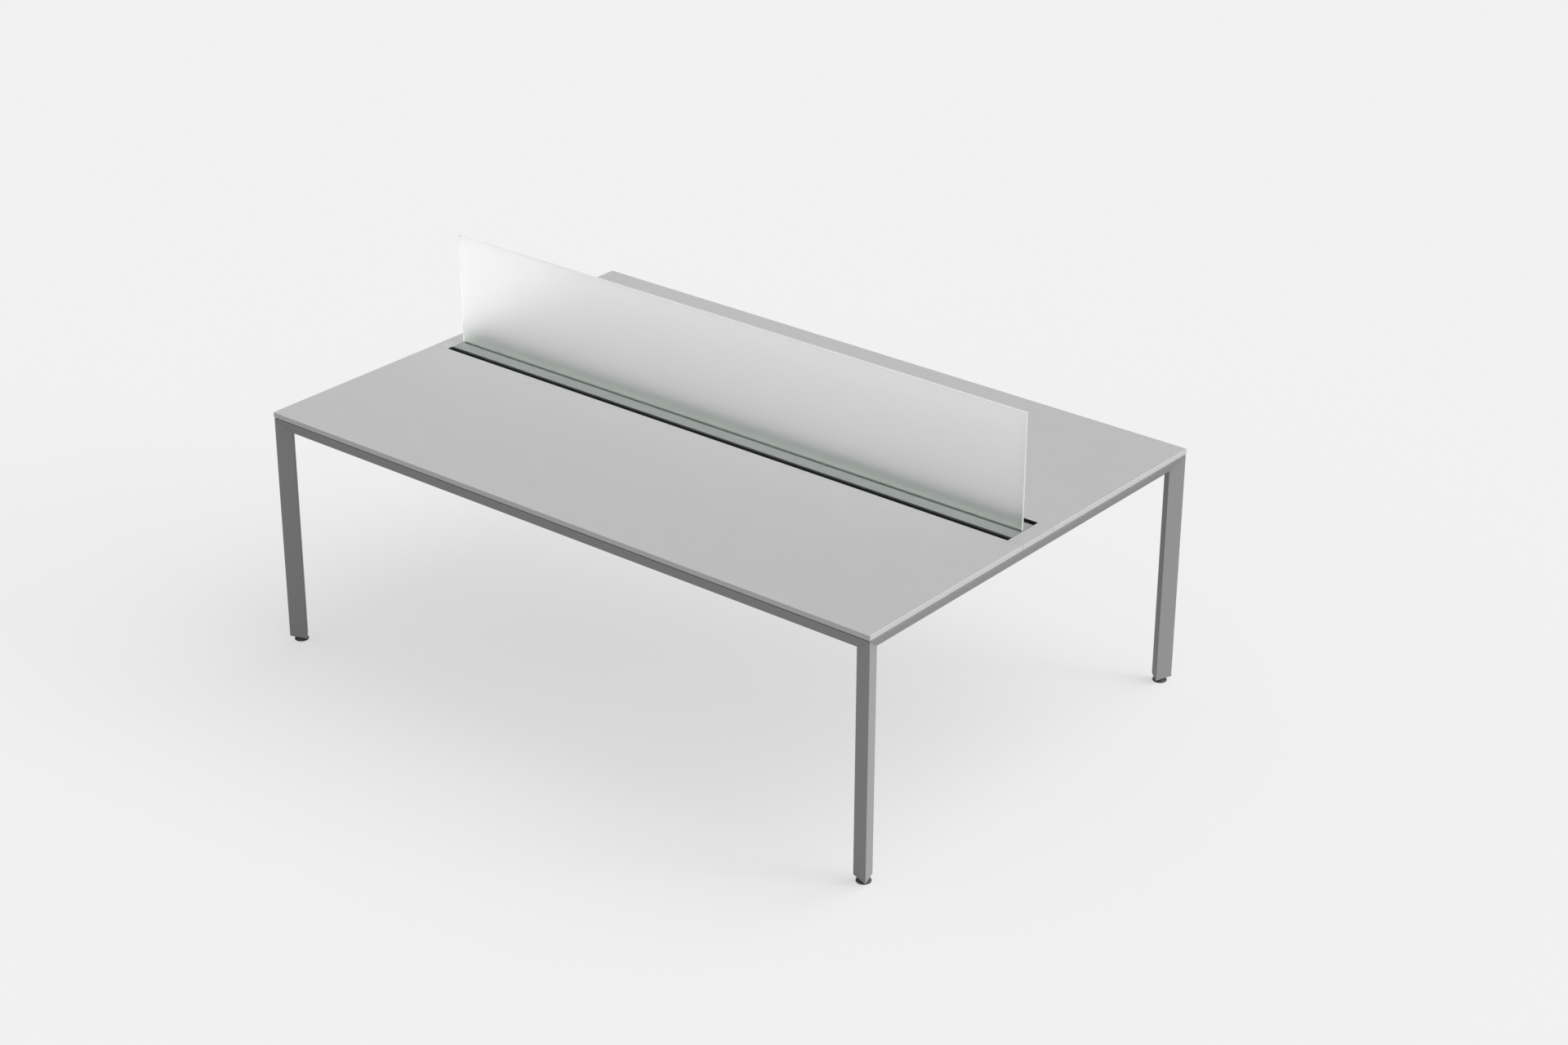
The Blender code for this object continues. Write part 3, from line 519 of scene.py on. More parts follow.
def zinc_plate():
    """Zinc plating: small cool and warm crystals with differing gloss."""
    material, tree, shader = start_finish("zinc_plated_steel", ZINC_SHADE, 0.35, metallic=1.0)
    crystals = cells(tree, scale=520)
    colour = shade_between(tree, crystals[0], ZINC_COOL, ZINC_WARM)
    tree.links.new(colour, shader.inputs["Base Color"])
    gloss = spread_between(tree, crystals[1], low=0.32, high=0.44)
    tree.links.new(gloss, shader.inputs["Roughness"])
    bump_from(tree, shader, grain(tree, scale=900), height=0.00001)
    return material


def glass_edge():
    """The ground and polished edge, pale in the middle and slightly greener at both faces."""
    material, tree, shader = start_finish("polished_glass_edge", GLASS_EDGE_PALE, 0.22)
    shader.inputs["Transmission Weight"].default_value = GLASS_EDGE_CLARITY
    shader.inputs["IOR"].default_value = GLASS_BEND
    depth = combine(tree, "ABSOLUTE", own_axis(tree, "Y"))
    share = spread_between(tree, depth, 0, 1, start=0.0, end=GLASS_HALF_THICKNESS)
    colour = shade_between(tree, share, GLASS_EDGE_PALE, GLASS_EDGE_GREEN)
    tree.links.new(colour, shader.inputs["Base Color"])
    ground = grain(tree, scale=900)
    tree.links.new(spread_between(tree, ground, low=0.22, high=0.32), shader.inputs["Roughness"])
    return material


def frosted_glass():
    """Etched glass: it blurs what is behind it, more with distance, and lets the lamps through."""
    material, tree, shader = start_finish("frosted_glass", 1.0, 0.62)
    shader.inputs["IOR"].default_value = GLASS_BEND
    etching = grain(tree, scale=2200)
    tree.links.new(spread_between(tree, etching, low=0.60, high=0.64), shader.inputs["Roughness"])
    shader.inputs["Transmission Weight"].default_value = 1.0
    # Painted shade: the colour darkens and greens towards the glass's foot, in place of the shaded
    # slot seen through it
    rise = spread_between(tree, own_axis(tree, "Z"), 0, 1, start=DESK_HEIGHT, end=GLASS_TOP)
    painted_shade = tree.nodes.new("ShaderNodeValToRGB")
    stops = painted_shade.color_ramp.elements
    stops.remove(stops[1])
    for place_up, colour in GLASS_PAINTED_SHADE:
        stops.new(place_up).color = (*colour, 1)
    stops.remove(stops[0])
    tree.links.new(rise, painted_shade.inputs["Fac"])
    tree.links.new(painted_shade.outputs["Color"], shader.inputs["Base Color"])
    path = tree.nodes.new("ShaderNodeLightPath")
    clear = tree.nodes.new("ShaderNodeBsdfTransparent")
    clear.inputs["Color"].default_value = (*GLASS_SHADOW, 1)
    whole = mix_shaders(tree, path.outputs["Is Shadow Ray"], shader.outputs[0], clear.outputs[0])
    tree.links.new(whole, tree.nodes["Material Output"].inputs["Surface"])
    return material


LAMINATE = laminate()
EDGE_BAND = textured("pale_edge_band", EDGE_SHADE, darker=0.97, roughness=(0.42, 0.5),
                     scale=1400, relief=0.00001)
FRAME_PAINT = powder_coat("silver_painted_steel", FRAME_SHADE, flake=0.02, gloss=0.25)
BAR_METAL = brushed_bar()
SEAL = textured("grey_seal", SEAL_SHADE, darker=0.85, roughness=(0.6, 0.74),
                scale=900, relief=0.00003)
BLACK_RUBBER = textured("black_rubber", RUBBER_SHADE, darker=0.75, roughness=(0.72, 0.86),
                        scale=900, relief=0.00004)
BLACK_PLASTIC = textured("black_plastic", PLASTIC_SHADE, darker=0.85, roughness=(0.46, 0.62),
                         scale=1500, relief=0.00003)
FOOT_PLASTIC = textured("foot_plastic", FOOT_SHADE, darker=0.85, roughness=(0.42, 0.58),
                        scale=1500, relief=0.00003)
BLACK_STEEL = textured("black_painted_steel", STEEL_SHADE, darker=0.8, roughness=(0.45, 0.6),
                       scale=1100, relief=0.00005)
ZINC_STEEL = zinc_plate()
GLASS = frosted_glass()
GLASS_EDGE = glass_edge()

# The start of a CAD piece's name, its finish and its material slot
FINISHES = (
    ("worktop", LAMINATE, "grey_laminate"),
    ("end_piece", LAMINATE, "grey_laminate"),
    ("edge_band", EDGE_BAND, "pale_edge_band"),
    ("leg_plug", BLACK_PLASTIC, "black_plastic"),
    ("leg", FRAME_PAINT, "silver_painted_steel"),
    ("long_rail", FRAME_PAINT, "silver_painted_steel"),
    ("end_rail", FRAME_PAINT, "silver_painted_steel"),
    ("corner_arm", FRAME_PAINT, "silver_painted_steel"),
    ("centre_beam", FRAME_PAINT, "silver_painted_steel"),
    ("centre_bar", BAR_METAL, "satin_aluminium"),
    ("glass_screen", GLASS, "frosted_glass"),
    ("glass_gasket", SEAL, "black_rubber"),
    ("setting_block", BLACK_RUBBER, "black_rubber"),
    ("end_pad", BLACK_RUBBER, "black_rubber"),
    # The slot trims are black as painted shade, for the slots' shadowed walls
    ("slot_trim", BLACK_PLASTIC, "black_plastic"),
    ("foot_base", BLACK_PLASTIC, "black_plastic"),
    ("foot_stud", ZINC_STEEL, "zinc_plated_steel"),
    ("rail_connector", ZINC_STEEL, "zinc_plated_steel"),
    ("rail_plate", ZINC_STEEL, "zinc_plated_steel"),
    ("beam_plate", ZINC_STEEL, "zinc_plated_steel"),
    ("beam_end_plate", ZINC_STEEL, "zinc_plated_steel"),
    ("bar_saddle", BLACK_STEEL, "black_painted_steel"),
    ("cable_tray", BLACK_STEEL, "black_painted_steel"),
)


# Shaping, as it is done by hand


def start_cube(first, second):
    """A box between two opposite corners, ready to be shaped."""
    bpy.ops.object.select_all(action="DESELECT")
    low = Vector([min(pair) for pair in zip(first, second)])
    high = Vector([max(pair) for pair in zip(first, second)])
    bpy.ops.mesh.primitive_cube_add(size=1, location=(low + high) / 2, scale=high - low)
    bpy.ops.object.transform_apply(location=True, rotation=True, scale=True)
    return bpy.context.object


def start_bar(radius, low, high, steps):
    """A round bar on the Z axis, ready to be shaped; six steps make a hexagon."""
    bpy.ops.object.select_all(action="DESELECT")
    middle = (0, 0, (low + high) / 2)
    bpy.ops.mesh.primitive_cylinder_add(
        vertices=steps, radius=radius, depth=high - low, location=middle)
    bpy.ops.object.transform_apply(location=True, rotation=True, scale=True)
    return bpy.context.object


def start_copy(node):
    """A welded copy of a CAD piece, without the triangles on its flat faces."""
    mesh = NODES[node].data.copy()
    piece = bpy.data.objects.new(node + "_copy", mesh)
    bpy.context.scene.collection.objects.link(piece)
    enter(piece)
    bpy.ops.mesh.select_all(action="SELECT")
    bpy.ops.mesh.remove_doubles(threshold=COPY_MERGE_DISTANCE)
    bpy.ops.mesh.dissolve_limited(angle_limit=math.radians(1))
    bpy.ops.mesh.normals_make_consistent(inside=False)
    leave()
    return piece


def pick_piece(piece):
    """Select one piece and nothing else."""
    bpy.ops.object.select_all(action="DESELECT")
    piece.select_set(True)
    bpy.context.view_layer.objects.active = piece


def enter(piece):
    """Open a piece for shaping, with nothing else selected."""
    pick_piece(piece)
    bpy.ops.object.mode_set(mode="EDIT")


def leave():
    """Close the piece that is being shaped."""
    bpy.ops.object.mode_set(mode="OBJECT")


def runs_along(way, axis, least=MOSTLY):
    """True for an edge direction or a face normal that is nearly parallel to an axis."""
    return abs(way[axis]) > least


def pick_faces(test):
    """Select the faces whose middle and normal pass a test, and no others."""
    mesh = bpy.context.edit_object.data
    bpy.ops.mesh.select_mode(type="FACE")
    bpy.ops.mesh.select_all(action="DESELECT")
    shape = bmesh.from_edit_mesh(mesh)
    for face in shape.faces:
        face.select_set(test(face.calc_center_median(), face.normal))
    bmesh.update_edit_mesh(mesh)


def pick_edges(test):
    """Select the edges whose middle, direction and face normals pass a test, and no others."""
    mesh = bpy.context.edit_object.data
    bpy.ops.mesh.select_mode(type="EDGE")
    bpy.ops.mesh.select_all(action="DESELECT")
    shape = bmesh.from_edit_mesh(mesh)
    for edge in shape.edges:
        start, end = edge.verts
        middle = (start.co + end.co) / 2
        way = (end.co - start.co).normalized()
        edge.select_set(test(middle, way, [face.normal for face in edge.link_faces]))
    bmesh.update_edit_mesh(mesh)


def sharp(normals):
    """True where two faces meet at a sharp angle."""
    return len(normals) == 2 and normals[0].angle(normals[1]) > SHARP_ANGLE


def ease_edges(piece, width, steps, test=None):
    """Round the sharp edges of a piece that pass a test."""
    def chosen(middle, way, normals):
        return sharp(normals) and (test is None or test(middle, way, normals))
    enter(piece)
    pick_edges(chosen)
    bpy.ops.mesh.bevel(offset=width, segments=steps, profile=0.5, clamp_overlap=True)
    leave()


def ease_edges_along(piece, width, steps, axis):
    """Round the sharp edges of a piece that run along an axis."""
    ease_edges(piece, width, steps, lambda middle, way, normals: runs_along(way, axis))


def keep_flats_flat(piece):
    """Let the broad faces set the shading, so that only the rounded edges look round."""
    pick_piece(piece)
    bpy.ops.object.shade_smooth_by_angle(angle=SMOOTH_ANGLE)
    bpy.ops.object.modifier_add(type="WEIGHTED_NORMAL")
    modifier = piece.modifiers[-1]
    modifier.keep_sharp = True
    modifier.weight = 100
    bpy.ops.object.modifier_apply(modifier=modifier.name)


def name_piece(piece, name, material, slot, body, *stands_for):
    """Give a finished piece its name, finish and the body that carries it."""
    keep_flats_flat(piece)
    piece.name = name
    piece.data.name = name
    if material is not None:
        piece.data.materials.clear()
        piece.data.materials.append(material)
    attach(piece, body)
    if stands_for:
        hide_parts(*stands_for)
    return piece


def copy_to(piece, place, way=(0, 0, 1), turn=0.0):
    """A copy of a master piece, with its Z axis along a direction."""
    twin = bpy.data.objects.new(piece.name + "_twin", piece.data.copy())
    bpy.context.scene.collection.objects.link(twin)
    facing = Vector(way).to_track_quat("Z", "Y").to_matrix().to_4x4()
    twin.data.transform(Matrix.Translation(place) @ facing @ Matrix.Rotation(turn, 4, "Z"))
    return twin


def join_pieces(pieces):
    """Make one piece of several."""
    bpy.ops.object.select_all(action="DESELECT")
    for piece in pieces:
        piece.select_set(True)
    bpy.context.view_layer.objects.active = pieces[0]
    bpy.ops.object.join()
    return bpy.context.object


def cut_away(piece, cutter):
    """Cut the shape of a second piece out of the first."""
    pick_piece(piece)
    bpy.ops.object.modifier_add(type="BOOLEAN")
    modifier = piece.modifiers[-1]
    modifier.operation = "DIFFERENCE"
    modifier.solver = "EXACT"
    modifier.object = cutter
    bpy.ops.object.modifier_apply(modifier=modifier.name)
    bpy.data.objects.remove(cutter)
    enter(piece)
    bpy.ops.mesh.select_all(action="SELECT")
    bpy.ops.mesh.remove_doubles(threshold=MERGE_DISTANCE)
    bpy.ops.mesh.dissolve_limited(angle_limit=math.radians(0.5))
    leave()
    return piece


def drop(*pieces):
    """Remove master pieces once their copies are made."""
    for piece in pieces:
        bpy.data.objects.remove(piece)


# Screws and bolts, each modelled once


def make_button_screw(radius, height, key):
    """A low round head with a hexagon socket, standing on the XY plane."""
    head = start_bar(radius, 0.0, height, 32)
    def on_crown(middle, way, normals):
        return middle.z > height * 0.9
    def on_foot(middle, way, normals):
        return middle.z < height * 0.1
    ease_edges(head, height * 0.75, 5, on_crown)
    ease_edges(head, height * 0.06, 1, on_foot)
    key_hole = start_bar(key / math.sqrt(3), height * 0.35, height * 1.5, 6)
    return cut_away(head, key_hole)


def make_hex_bolt(radius, height, washer_radius, washer_height):
    """A hexagon head with a turned face, on its washer, standing on the XY plane."""
    top = washer_height + height
    washer = start_bar(washer_radius, 0.0, washer_height, 40)
    ease_edges(washer, washer_height * 0.3, 2)
    head = start_bar(radius, washer_height, top, 6)
    enter(head)
    pick_faces(lambda middle, normal: normal.z > MOSTLY)
    bpy.ops.mesh.inset(thickness=radius * 0.07, depth=0)
    bpy.ops.transform.translate(value=(0, 0, height * 0.04))
    leave()
    ease_edges(head, height * 0.08, 2)
    boss = start_bar(radius * 0.8, top - height * 0.1, top + height * 0.1, 40)
    ease_edges(boss, height * 0.06, 2, lambda middle, way, normals: middle.z > top)
    return join_pieces([head, boss, washer])


def screw_row(master, places, way, name):
    """Copies of a screw at some places, each turned a little further, as one piece."""
    twins = [copy_to(master, place, way, turn=0.4 * index) for index, place in enumerate(places)]
    return name_piece(join_pieces(twins), name, ZINC_STEEL, "zinc_plated_steel", "frame")


# The glass screen and the cable slots


def make_glass():
    """The pane: frosted on both faces, with ground and polished edges."""
    low = (-GLASS_HALF_LENGTH, -GLASS_HALF_THICKNESS, GLASS_BOTTOM)
    high = (GLASS_HALF_LENGTH, GLASS_HALF_THICKNESS, GLASS_TOP)
    pane = start_cube(low, high)
    def upper_corner(middle, way, normals):
        return runs_along(way, Y) and middle.z > DESK_HEIGHT
    ease_edges(pane, PANE_CORNER, 4, upper_corner)
    ease_edges(pane, PANE_EASE, 3)
    pane.data.materials.append(GLASS)
    pane.data.materials.append(GLASS_EDGE)
    for face in pane.data.polygons:
        face.material_index = 0 if runs_along(face.normal, Y, EXACTLY) else 1
    name_piece(pane, "frosted_pane", None, "frosted_glass", "frame", "glass_screen")


def make_gasket(side_name, side):
    """The rubber strip that wedges one side of the glass, with a soft top just above the bar."""
    strip = start_cube((-GLASS_HALF_LENGTH, side * GASKET_NEAR, GLASS_BOTTOM),
                       (GLASS_HALF_LENGTH, side * GASKET_FAR, DESK_HEIGHT + GASKET_RISE))
    def upper_edge(middle, way, normals):
        return runs_along(way, X) and middle.z > DESK_HEIGHT
    ease_edges(strip, GASKET_EASE, 3, upper_edge)
    name = "glass_gasket_" + side_name
    name_piece(strip, name + "_strip", SEAL, "black_rubber", "frame", name)


def make_slot_shade_lining(side_name, side):
    """The black strip that is clipped to the bar's side: painted shade, a dark sheet that darkens
    the cable slot.
    """
    shade_lining = start_cube((-BAR_HALF_LENGTH, side * SHADE_LINING_NEAR, SHADE_LINING_LOW),
                        (BAR_HALF_LENGTH, side * SHADE_LINING_FAR, DESK_HEIGHT - SHADE_LINING_DROP))
    ease_edges_along(shade_lining, SHADE_LINING_EASE, 2, X)
    name_piece(shade_lining, "slot_shade_lining_" + side_name, BLACK_PLASTIC, "black_plastic", "frame")


def make_slot_end_shades():
    """The black strip on each end piece that closes the end of a slot: painted shade, a dark sheet
    that makes the slot's end as dark as its shadow.
    """
    for end_name, end in ENDS:
        for side_name, side in SIDES:
            strip = start_cube(
                (end * BAR_HALF_LENGTH, side * SLOT_END_NEAR, SLOT_END_LOW),
                (end * (BAR_HALF_LENGTH + SLOT_END_THICKNESS), side * SLOT_END_FAR,
                 DESK_HEIGHT - SLOT_END_DROP))
            ease_edges(strip, SLOT_END_EASE, 2)
            name = "slot_end_%s_%s" % (side_name, end_name)
            name_piece(strip, name, BLACK_PLASTIC, "black_plastic", "frame")


def make_slot_trim_shades():
    """The black angles that line the worktops' side of the slots: painted shade, dark sheets that
    darken the slots' shadowed walls.
    """
    for side_name, side in SIDES:
        name = "slot_trim_" + side_name
        trim = start_copy(name)
        ease_edges_along(trim, TRIM_EASE, 2, X)
        name_piece(trim, name + "_moulded_shade", BLACK_PLASTIC, "black_plastic", "frame", name)


# The frame


def dress_tubes():
    """The triangular tubes and the beams: rounded along their length, with tight welded mitres."""
    tubes = ("leg_front", "leg_back", "long_rail", "end_rail", "corner_arm", "centre_beam")
    for name in sorted(NODES):
        if not name.startswith(tubes):
            continue
        low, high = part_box(name)
        spans = [far - near for near, far in zip(low, high)]
        axis = spans.index(max(spans))
        tube = start_copy(name)
        def lengthwise(middle, way, normals):
            return runs_along(way, axis, STRICTLY)
        def at_square_end(middle, way, normals):
            return any(runs_along(normal, axis, STRICTLY) for normal in normals)
        def at_mitre(middle, way, normals):
            return abs(way[axis]) < STRICTLY and not at_square_end(middle, way, normals)
        ease_edges(tube, TUBE_EASE, 2, lengthwise)
        ease_edges(tube, TUBE_EASE, 2, at_square_end)
        ease_edges(tube, TUBE_MITRE_EASE, 1, at_mitre)
        enter(tube)
        bpy.ops.mesh.select_all(action="SELECT")
        bpy.ops.mesh.remove_doubles(threshold=MERGE_DISTANCE)
        bpy.ops.mesh.dissolve_degenerate(threshold=MERGE_DISTANCE)
        bpy.ops.mesh.fill_holes(sides=6)
        leave()
        name_piece(tube, name + "_tube", FRAME_PAINT, "silver_painted_steel", "frame", name)


def end_slope(distance, depth, side_x):
    """A point on the back slope of an end rail, and the slope's outward direction."""
    along = Vector((LEG_REACH - LEG_INSET, RAIL_DROP)).normalized()
    across = Vector((RAIL_DROP, -(LEG_REACH - LEG_INSET))).normalized()
    point = Vector((LEG_INSET, -RAIL_DROP)) + along * distance + across * depth
    place = (side_x * (HALF_LENGTH - point.x), RAIL_TOP + point.y)
    return place, (-side_x * across.x, 0, across.y)


def make_beam_plates(bolt):
    """The sloping plates that carry the beams, each bolted to its end rail."""
    for end_name, side_x in ENDS:
        name = "beam_end_plate_" + end_name
        plate = start_copy(name)
        def through_thickness(middle, way, normals):
            return runs_along(way, X, SLOPING) and way.x * way.z * side_x > 0
        ease_edges(plate, END_PLATE_CORNER, 4, through_thickness)
        ease_edges(plate, END_PLATE_EASE, 2)
        name_piece(plate, name + "_steel", ZINC_STEEL, "zinc_plated_steel", "frame", name)
        (x, z), way = end_slope(SLOPE_LENGTH / 2, FIT_GAP + END_PLATE_THICKNESS, side_x)
        places = [(x, y, z) for y in BEAM_BOLT_PLACES]
        screw_row(bolt, places, way, "beam_end_bolts_" + end_name)


def make_seam_screws(button):
    """Two screws at each seam of the end rails, which hold the spigots."""
    seam = HALF_WIDTH - CORNER_ARM_LENGTH
    for corner, side_x, side_y in CORNERS:
        (x, z), way = end_slope(SLOPE_LENGTH / 2, 0.0, side_x)
        places = [(x, side_y * (seam + step), z) for step in (-SEAM_SCREW_STEP, SEAM_SCREW_STEP)]
        screw_row(button, places, way, "seam_screws_" + corner)


# The worktops' edges


def make_edge_band(side_name, side):
    """The band round one worktop: a ring with softly rounded outer edges."""
    near, far = side * HALF_GAP, side * HALF_WIDTH
    ring = start_cube((-HALF_LENGTH, near, BOARD_UNDERSIDE), (HALF_LENGTH, far, DESK_HEIGHT))
    def outer_corner(middle, way, normals):
        return runs_along(way, Z) and abs(middle.y) > (HALF_GAP + HALF_WIDTH) / 2
    ease_edges(ring, BAND_CORNER, 4, outer_corner)
    enter(ring)
    pick_faces(lambda middle, normal: runs_along(normal, Z))
    bpy.ops.mesh.inset(thickness=BAND_THICKNESS, depth=0)
    bpy.ops.mesh.delete(type="FACE")
    pick_edges(lambda middle, way, normals: len(normals) == 1)
    bpy.ops.mesh.bridge_edge_loops()
    leave()
    def on_rim(middle, way, normals):
        at_end = abs(middle.x) > HALF_LENGTH - BAND_REACH
        at_seam = abs(middle.y - near) < BAND_REACH
        at_user = abs(middle.y - far) < BAND_REACH
        return at_seam or ((at_end or at_user) and abs(way.z) < 0.1)
    ease_edges(ring, BAND_EASE, 3, on_rim)
    name = "edge_band_" + side_name
    name_piece(ring, name + "_rounded", EDGE_BAND, "pale_edge_band", "frame", name)


def make_end_piece(end_name, side):
    """The board that closes the middle gap at one end, banded on its edges."""
    half_width = HALF_GAP - BOARD_SEAM
    board = start_cube((side * (HALF_LENGTH - END_PIECE_LENGTH), -half_width, BOARD_UNDERSIDE),
                       (side * HALF_LENGTH, half_width, DESK_HEIGHT))
    def on_outer_end(middle, way, normals):
        return runs_along(way, Y) and abs(middle.x) > HALF_LENGTH - BAND_REACH
    ease_edges(board, BAND_EASE, 3, on_outer_end)
    ease_edges(board, SEAM_EASE, 2)
    board.data.materials.append(LAMINATE)
    board.data.materials.append(EDGE_BAND)
    for face in board.data.polygons:
        face.material_index = 0 if runs_along(face.normal, Z) else 1
    name = "end_piece_" + end_name
    name_piece(board, name + "_board", None, "grey_laminate", "frame", name)


# The steel plates that carry the worktops


def make_fixing_plates(screw):
    """Plates with rounded corners, each with two screws up into a worktop."""
    for name in sorted(NODES):
        if not name.startswith(("rail_plate_", "beam_plate_")):
            continue
        low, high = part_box(name)
        plate = start_cube((low[0], low[1], PLATE_LOW), (high[0], high[1], PLATE_HIGH))
        ease_edges_along(plate, PLATE_CORNER, 4, Z)
        ease_edges(plate, PLATE_EASE, 1)
        side_y = 1 if low[1] > 0 else -1
        reaches = sorted((abs(low[1]), abs(high[1])))
        if name.startswith("rail"):
            y = side_y * (reaches[0] + PLATE_SCREW_SETBACK)
        else:
            y = side_y * (reaches[1] - PLATE_SCREW_SETBACK)
        x = (low[0] + high[0]) / 2
        twins = [copy_to(screw, (x + step, y, PLATE_LOW), (0, 0, -1), 0.5 * index)
                 for index, step in enumerate(PLATE_SCREW_STEPS)]
        whole = join_pieces([plate, *twins])
        name_piece(whole, name + "_screwed", ZINC_STEEL, "zinc_plated_steel", "frame", name)


# The middle bar, its saddles and the cable tray


def make_bar():
    """The extruded bar with its brushed finish."""
    bar = start_copy("centre_bar")
    name_piece(bar, "centre_bar_brushed", BAR_METAL, "satin_aluminium", "frame", "centre_bar")


def round_folds(sheet, outer, inner, folds):
    """Round the folds of a sheet: the outer edge of each, then the inner one."""
    def at(spots):
        def test(middle, way, normals):
            return runs_along(way, X) and any(
                max(abs(abs(middle.y) - y), abs(middle.z - z)) < FOLD_REACH for y, z in spots)
        return test
    ease_edges(sheet, outer, 5, at([fold[0] for fold in folds]))
    ease_edges(sheet, inner, 4, at([fold[1] for fold in folds]))


def make_saddles(button):
    """Folded saddles between the beams, each with two screws on either side."""
    for name in ("bar_saddle_left", "bar_saddle_middle", "bar_saddle_right"):
        low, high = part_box(name)
        saddle = start_copy(name)
        round_folds(saddle, SADDLE_OUTER_BEND, SADDLE_INNER_BEND, SADDLE_FOLDS)
        def flange_corner(middle, way, normals):
            beyond = abs(middle.y) > SADDLE_CORNERS_BEYOND
            return runs_along(way, Y) and beyond and middle.z < SADDLE_CORNERS_BELOW
        ease_edges(saddle, SADDLE_CORNER, 4, flange_corner)
        name_piece(saddle, name + "_folded", BLACK_STEEL, "black_painted_steel", "frame", name)
        x = (low[0] + high[0]) / 2
        for side_name, side in SIDES:
            y = side * SADDLE_SCREW_Y
            places = [(x + step, y, SADDLE_SCREW_HEIGHT) for step in SADDLE_SCREW_STEPS]
            screw_row(button, places, (0, -side, 0), name + "_screws_" + side_name)


def make_tray(screw):
    """The folded cable tray, with punched slots in its floor and screws through its flanges."""
    tray = start_copy("cable_tray")
    round_folds(tray, TRAY_OUTER_BEND, TRAY_INNER_BEND, TRAY_FOLDS)
    def flange_corner(middle, way, normals):
        return runs_along(way, Z) and abs(middle.y) > TRAY_CORNERS_BEYOND
    ease_edges(tray, TRAY_CORNER, 4, flange_corner)
    slots = []
    for y in TRAY_SLOT_ROWS:
        slot = start_cube(
            (-TRAY_SLOT_REACH - TRAY_SLOT_HALF_LENGTH, y - TRAY_SLOT_HALF_WIDTH, TRAY_CUT_LOW),
            (-TRAY_SLOT_REACH + TRAY_SLOT_HALF_LENGTH, y + TRAY_SLOT_HALF_WIDTH, TRAY_CUT_HIGH))
        ease_edges_along(slot, TRAY_SLOT_ROUNDING, 5, Z)
        bpy.ops.object.modifier_add(type="ARRAY")
        modifier = slot.modifiers[-1]
        modifier.count = TRAY_SLOT_COUNT
        modifier.use_relative_offset = False
        modifier.use_constant_offset = True
        modifier.constant_offset_displace = (2 * TRAY_SLOT_REACH / (TRAY_SLOT_COUNT - 1), 0, 0)
        bpy.ops.object.modifier_apply(modifier=modifier.name)
        slots.append(slot)
    tray = cut_away(tray, join_pieces(slots))
    name_piece(tray, "cable_tray_punched", BLACK_STEEL, "black_painted_steel", "frame",
               "cable_tray")
    for side_name, side in SIDES:
        places = [(x, side * TRAY_SCREW_Y, TRAY_FLANGE_LOW) for x in TRAY_SCREW_PLACES]
        screw_row(screw, places, (0, 0, -1), "tray_screws_" + side_name)


def make_tray_covers(screw):
    """A cover with a turned-down lip beyond each end of the tray, which closes the slots."""
    fold = TRAY_COVER_OUTER - (TRAY_FLANGE_HIGH - TRAY_FLANGE_LOW)
    def inner_corner(middle, way, normals):
        return runs_along(way, Z) and abs(middle.x) < (TRAY_COVER_INNER + TRAY_COVER_OUTER) / 2
    def under_the_fold(middle, normal):
        return normal.z < -MOSTLY and abs(middle.x) > fold
    for end_name, side in ENDS:
        cover = start_cube((side * TRAY_COVER_INNER, -TRAY_COVER_HALF_WIDTH, TRAY_FLANGE_LOW),
                           (side * TRAY_COVER_OUTER, TRAY_COVER_HALF_WIDTH, TRAY_FLANGE_HIGH))
        ease_edges(cover, TRAY_CORNER, 4, inner_corner)
        enter(cover)
        bpy.ops.mesh.select_all(action="SELECT")
        bpy.ops.mesh.bisect(plane_co=(side * fold, 0, 0), plane_no=(1, 0, 0))
        pick_faces(under_the_fold)
        bpy.ops.mesh.extrude_region_move(
            TRANSFORM_OT_translate={"value": (0, 0, -TRAY_COVER_LIP)})
        leave()
        ease_edges(cover, TRAY_COVER_EASE, 2)
        name_piece(cover, "tray_cover_" + end_name, BLACK_STEEL, "black_painted_steel", "frame")
        x = side * (TRAY_COVER_INNER + TRAY_COVER_OUTER) / 2
        places = [(x, y, TRAY_FLANGE_LOW) for y in (-TRAY_SCREW_Y, TRAY_SCREW_Y)]
        screw_row(screw, places, (0, 0, -1), "tray_cover_screws_" + end_name)


# The levelling feet


def foot_place(side_x, side_y):
    """The middle of the foot at a corner."""
    inward = (LEG_REACH + LEG_INSET) / 3
    return side_x * (HALF_LENGTH - inward), side_y * (HALF_WIDTH - inward)


def make_foot_disc():
    """One foot disc at the origin: a turned foot whose sloping top has ribs for the hand."""
    slope_top = FOOT_RIM + FOOT_SLOPE
    disc = start_bar(FOOT_RADIUS, 0.0, FOOT_RIM, FOOT_STEPS)
    enter(disc)
    pick_faces(lambda middle, normal: normal.z > MOSTLY)
    for rise, share in ((FOOT_SLOPE, FOOT_SLOPE_SHARE), (FOOT_CROWN, FOOT_CROWN_SHARE)):
        bpy.ops.mesh.extrude_region_move(TRANSFORM_OT_translate={"value": (0, 0, rise)})
        bpy.ops.transform.resize(value=(share, share, 1), center_override=(0, 0, slope_top))
    leave()
    ease_edges(disc, FOOT_EASE, 2, lambda middle, way, normals: middle.z < FOOT_RIB_MARGIN)
    enter(disc)
    def on_rib(middle, normal):
        on_side = FOOT_EASE + FOOT_RIB_MARGIN < middle.z < slope_top - FOOT_RIB_MARGIN
        step = math.floor(math.atan2(middle.y, middle.x) / (2 * math.pi) * FOOT_STEPS)
        return on_side and step % FOOT_RIB_STEPS < FOOT_RIB_STEPS // 2 and normal.z < STRICTLY
    pick_faces(on_rib)
    bpy.ops.mesh.extrude_region_shrink_fatten(
        TRANSFORM_OT_shrink_fatten={"value": FOOT_RIB_DEPTH})
    leave()
    return disc


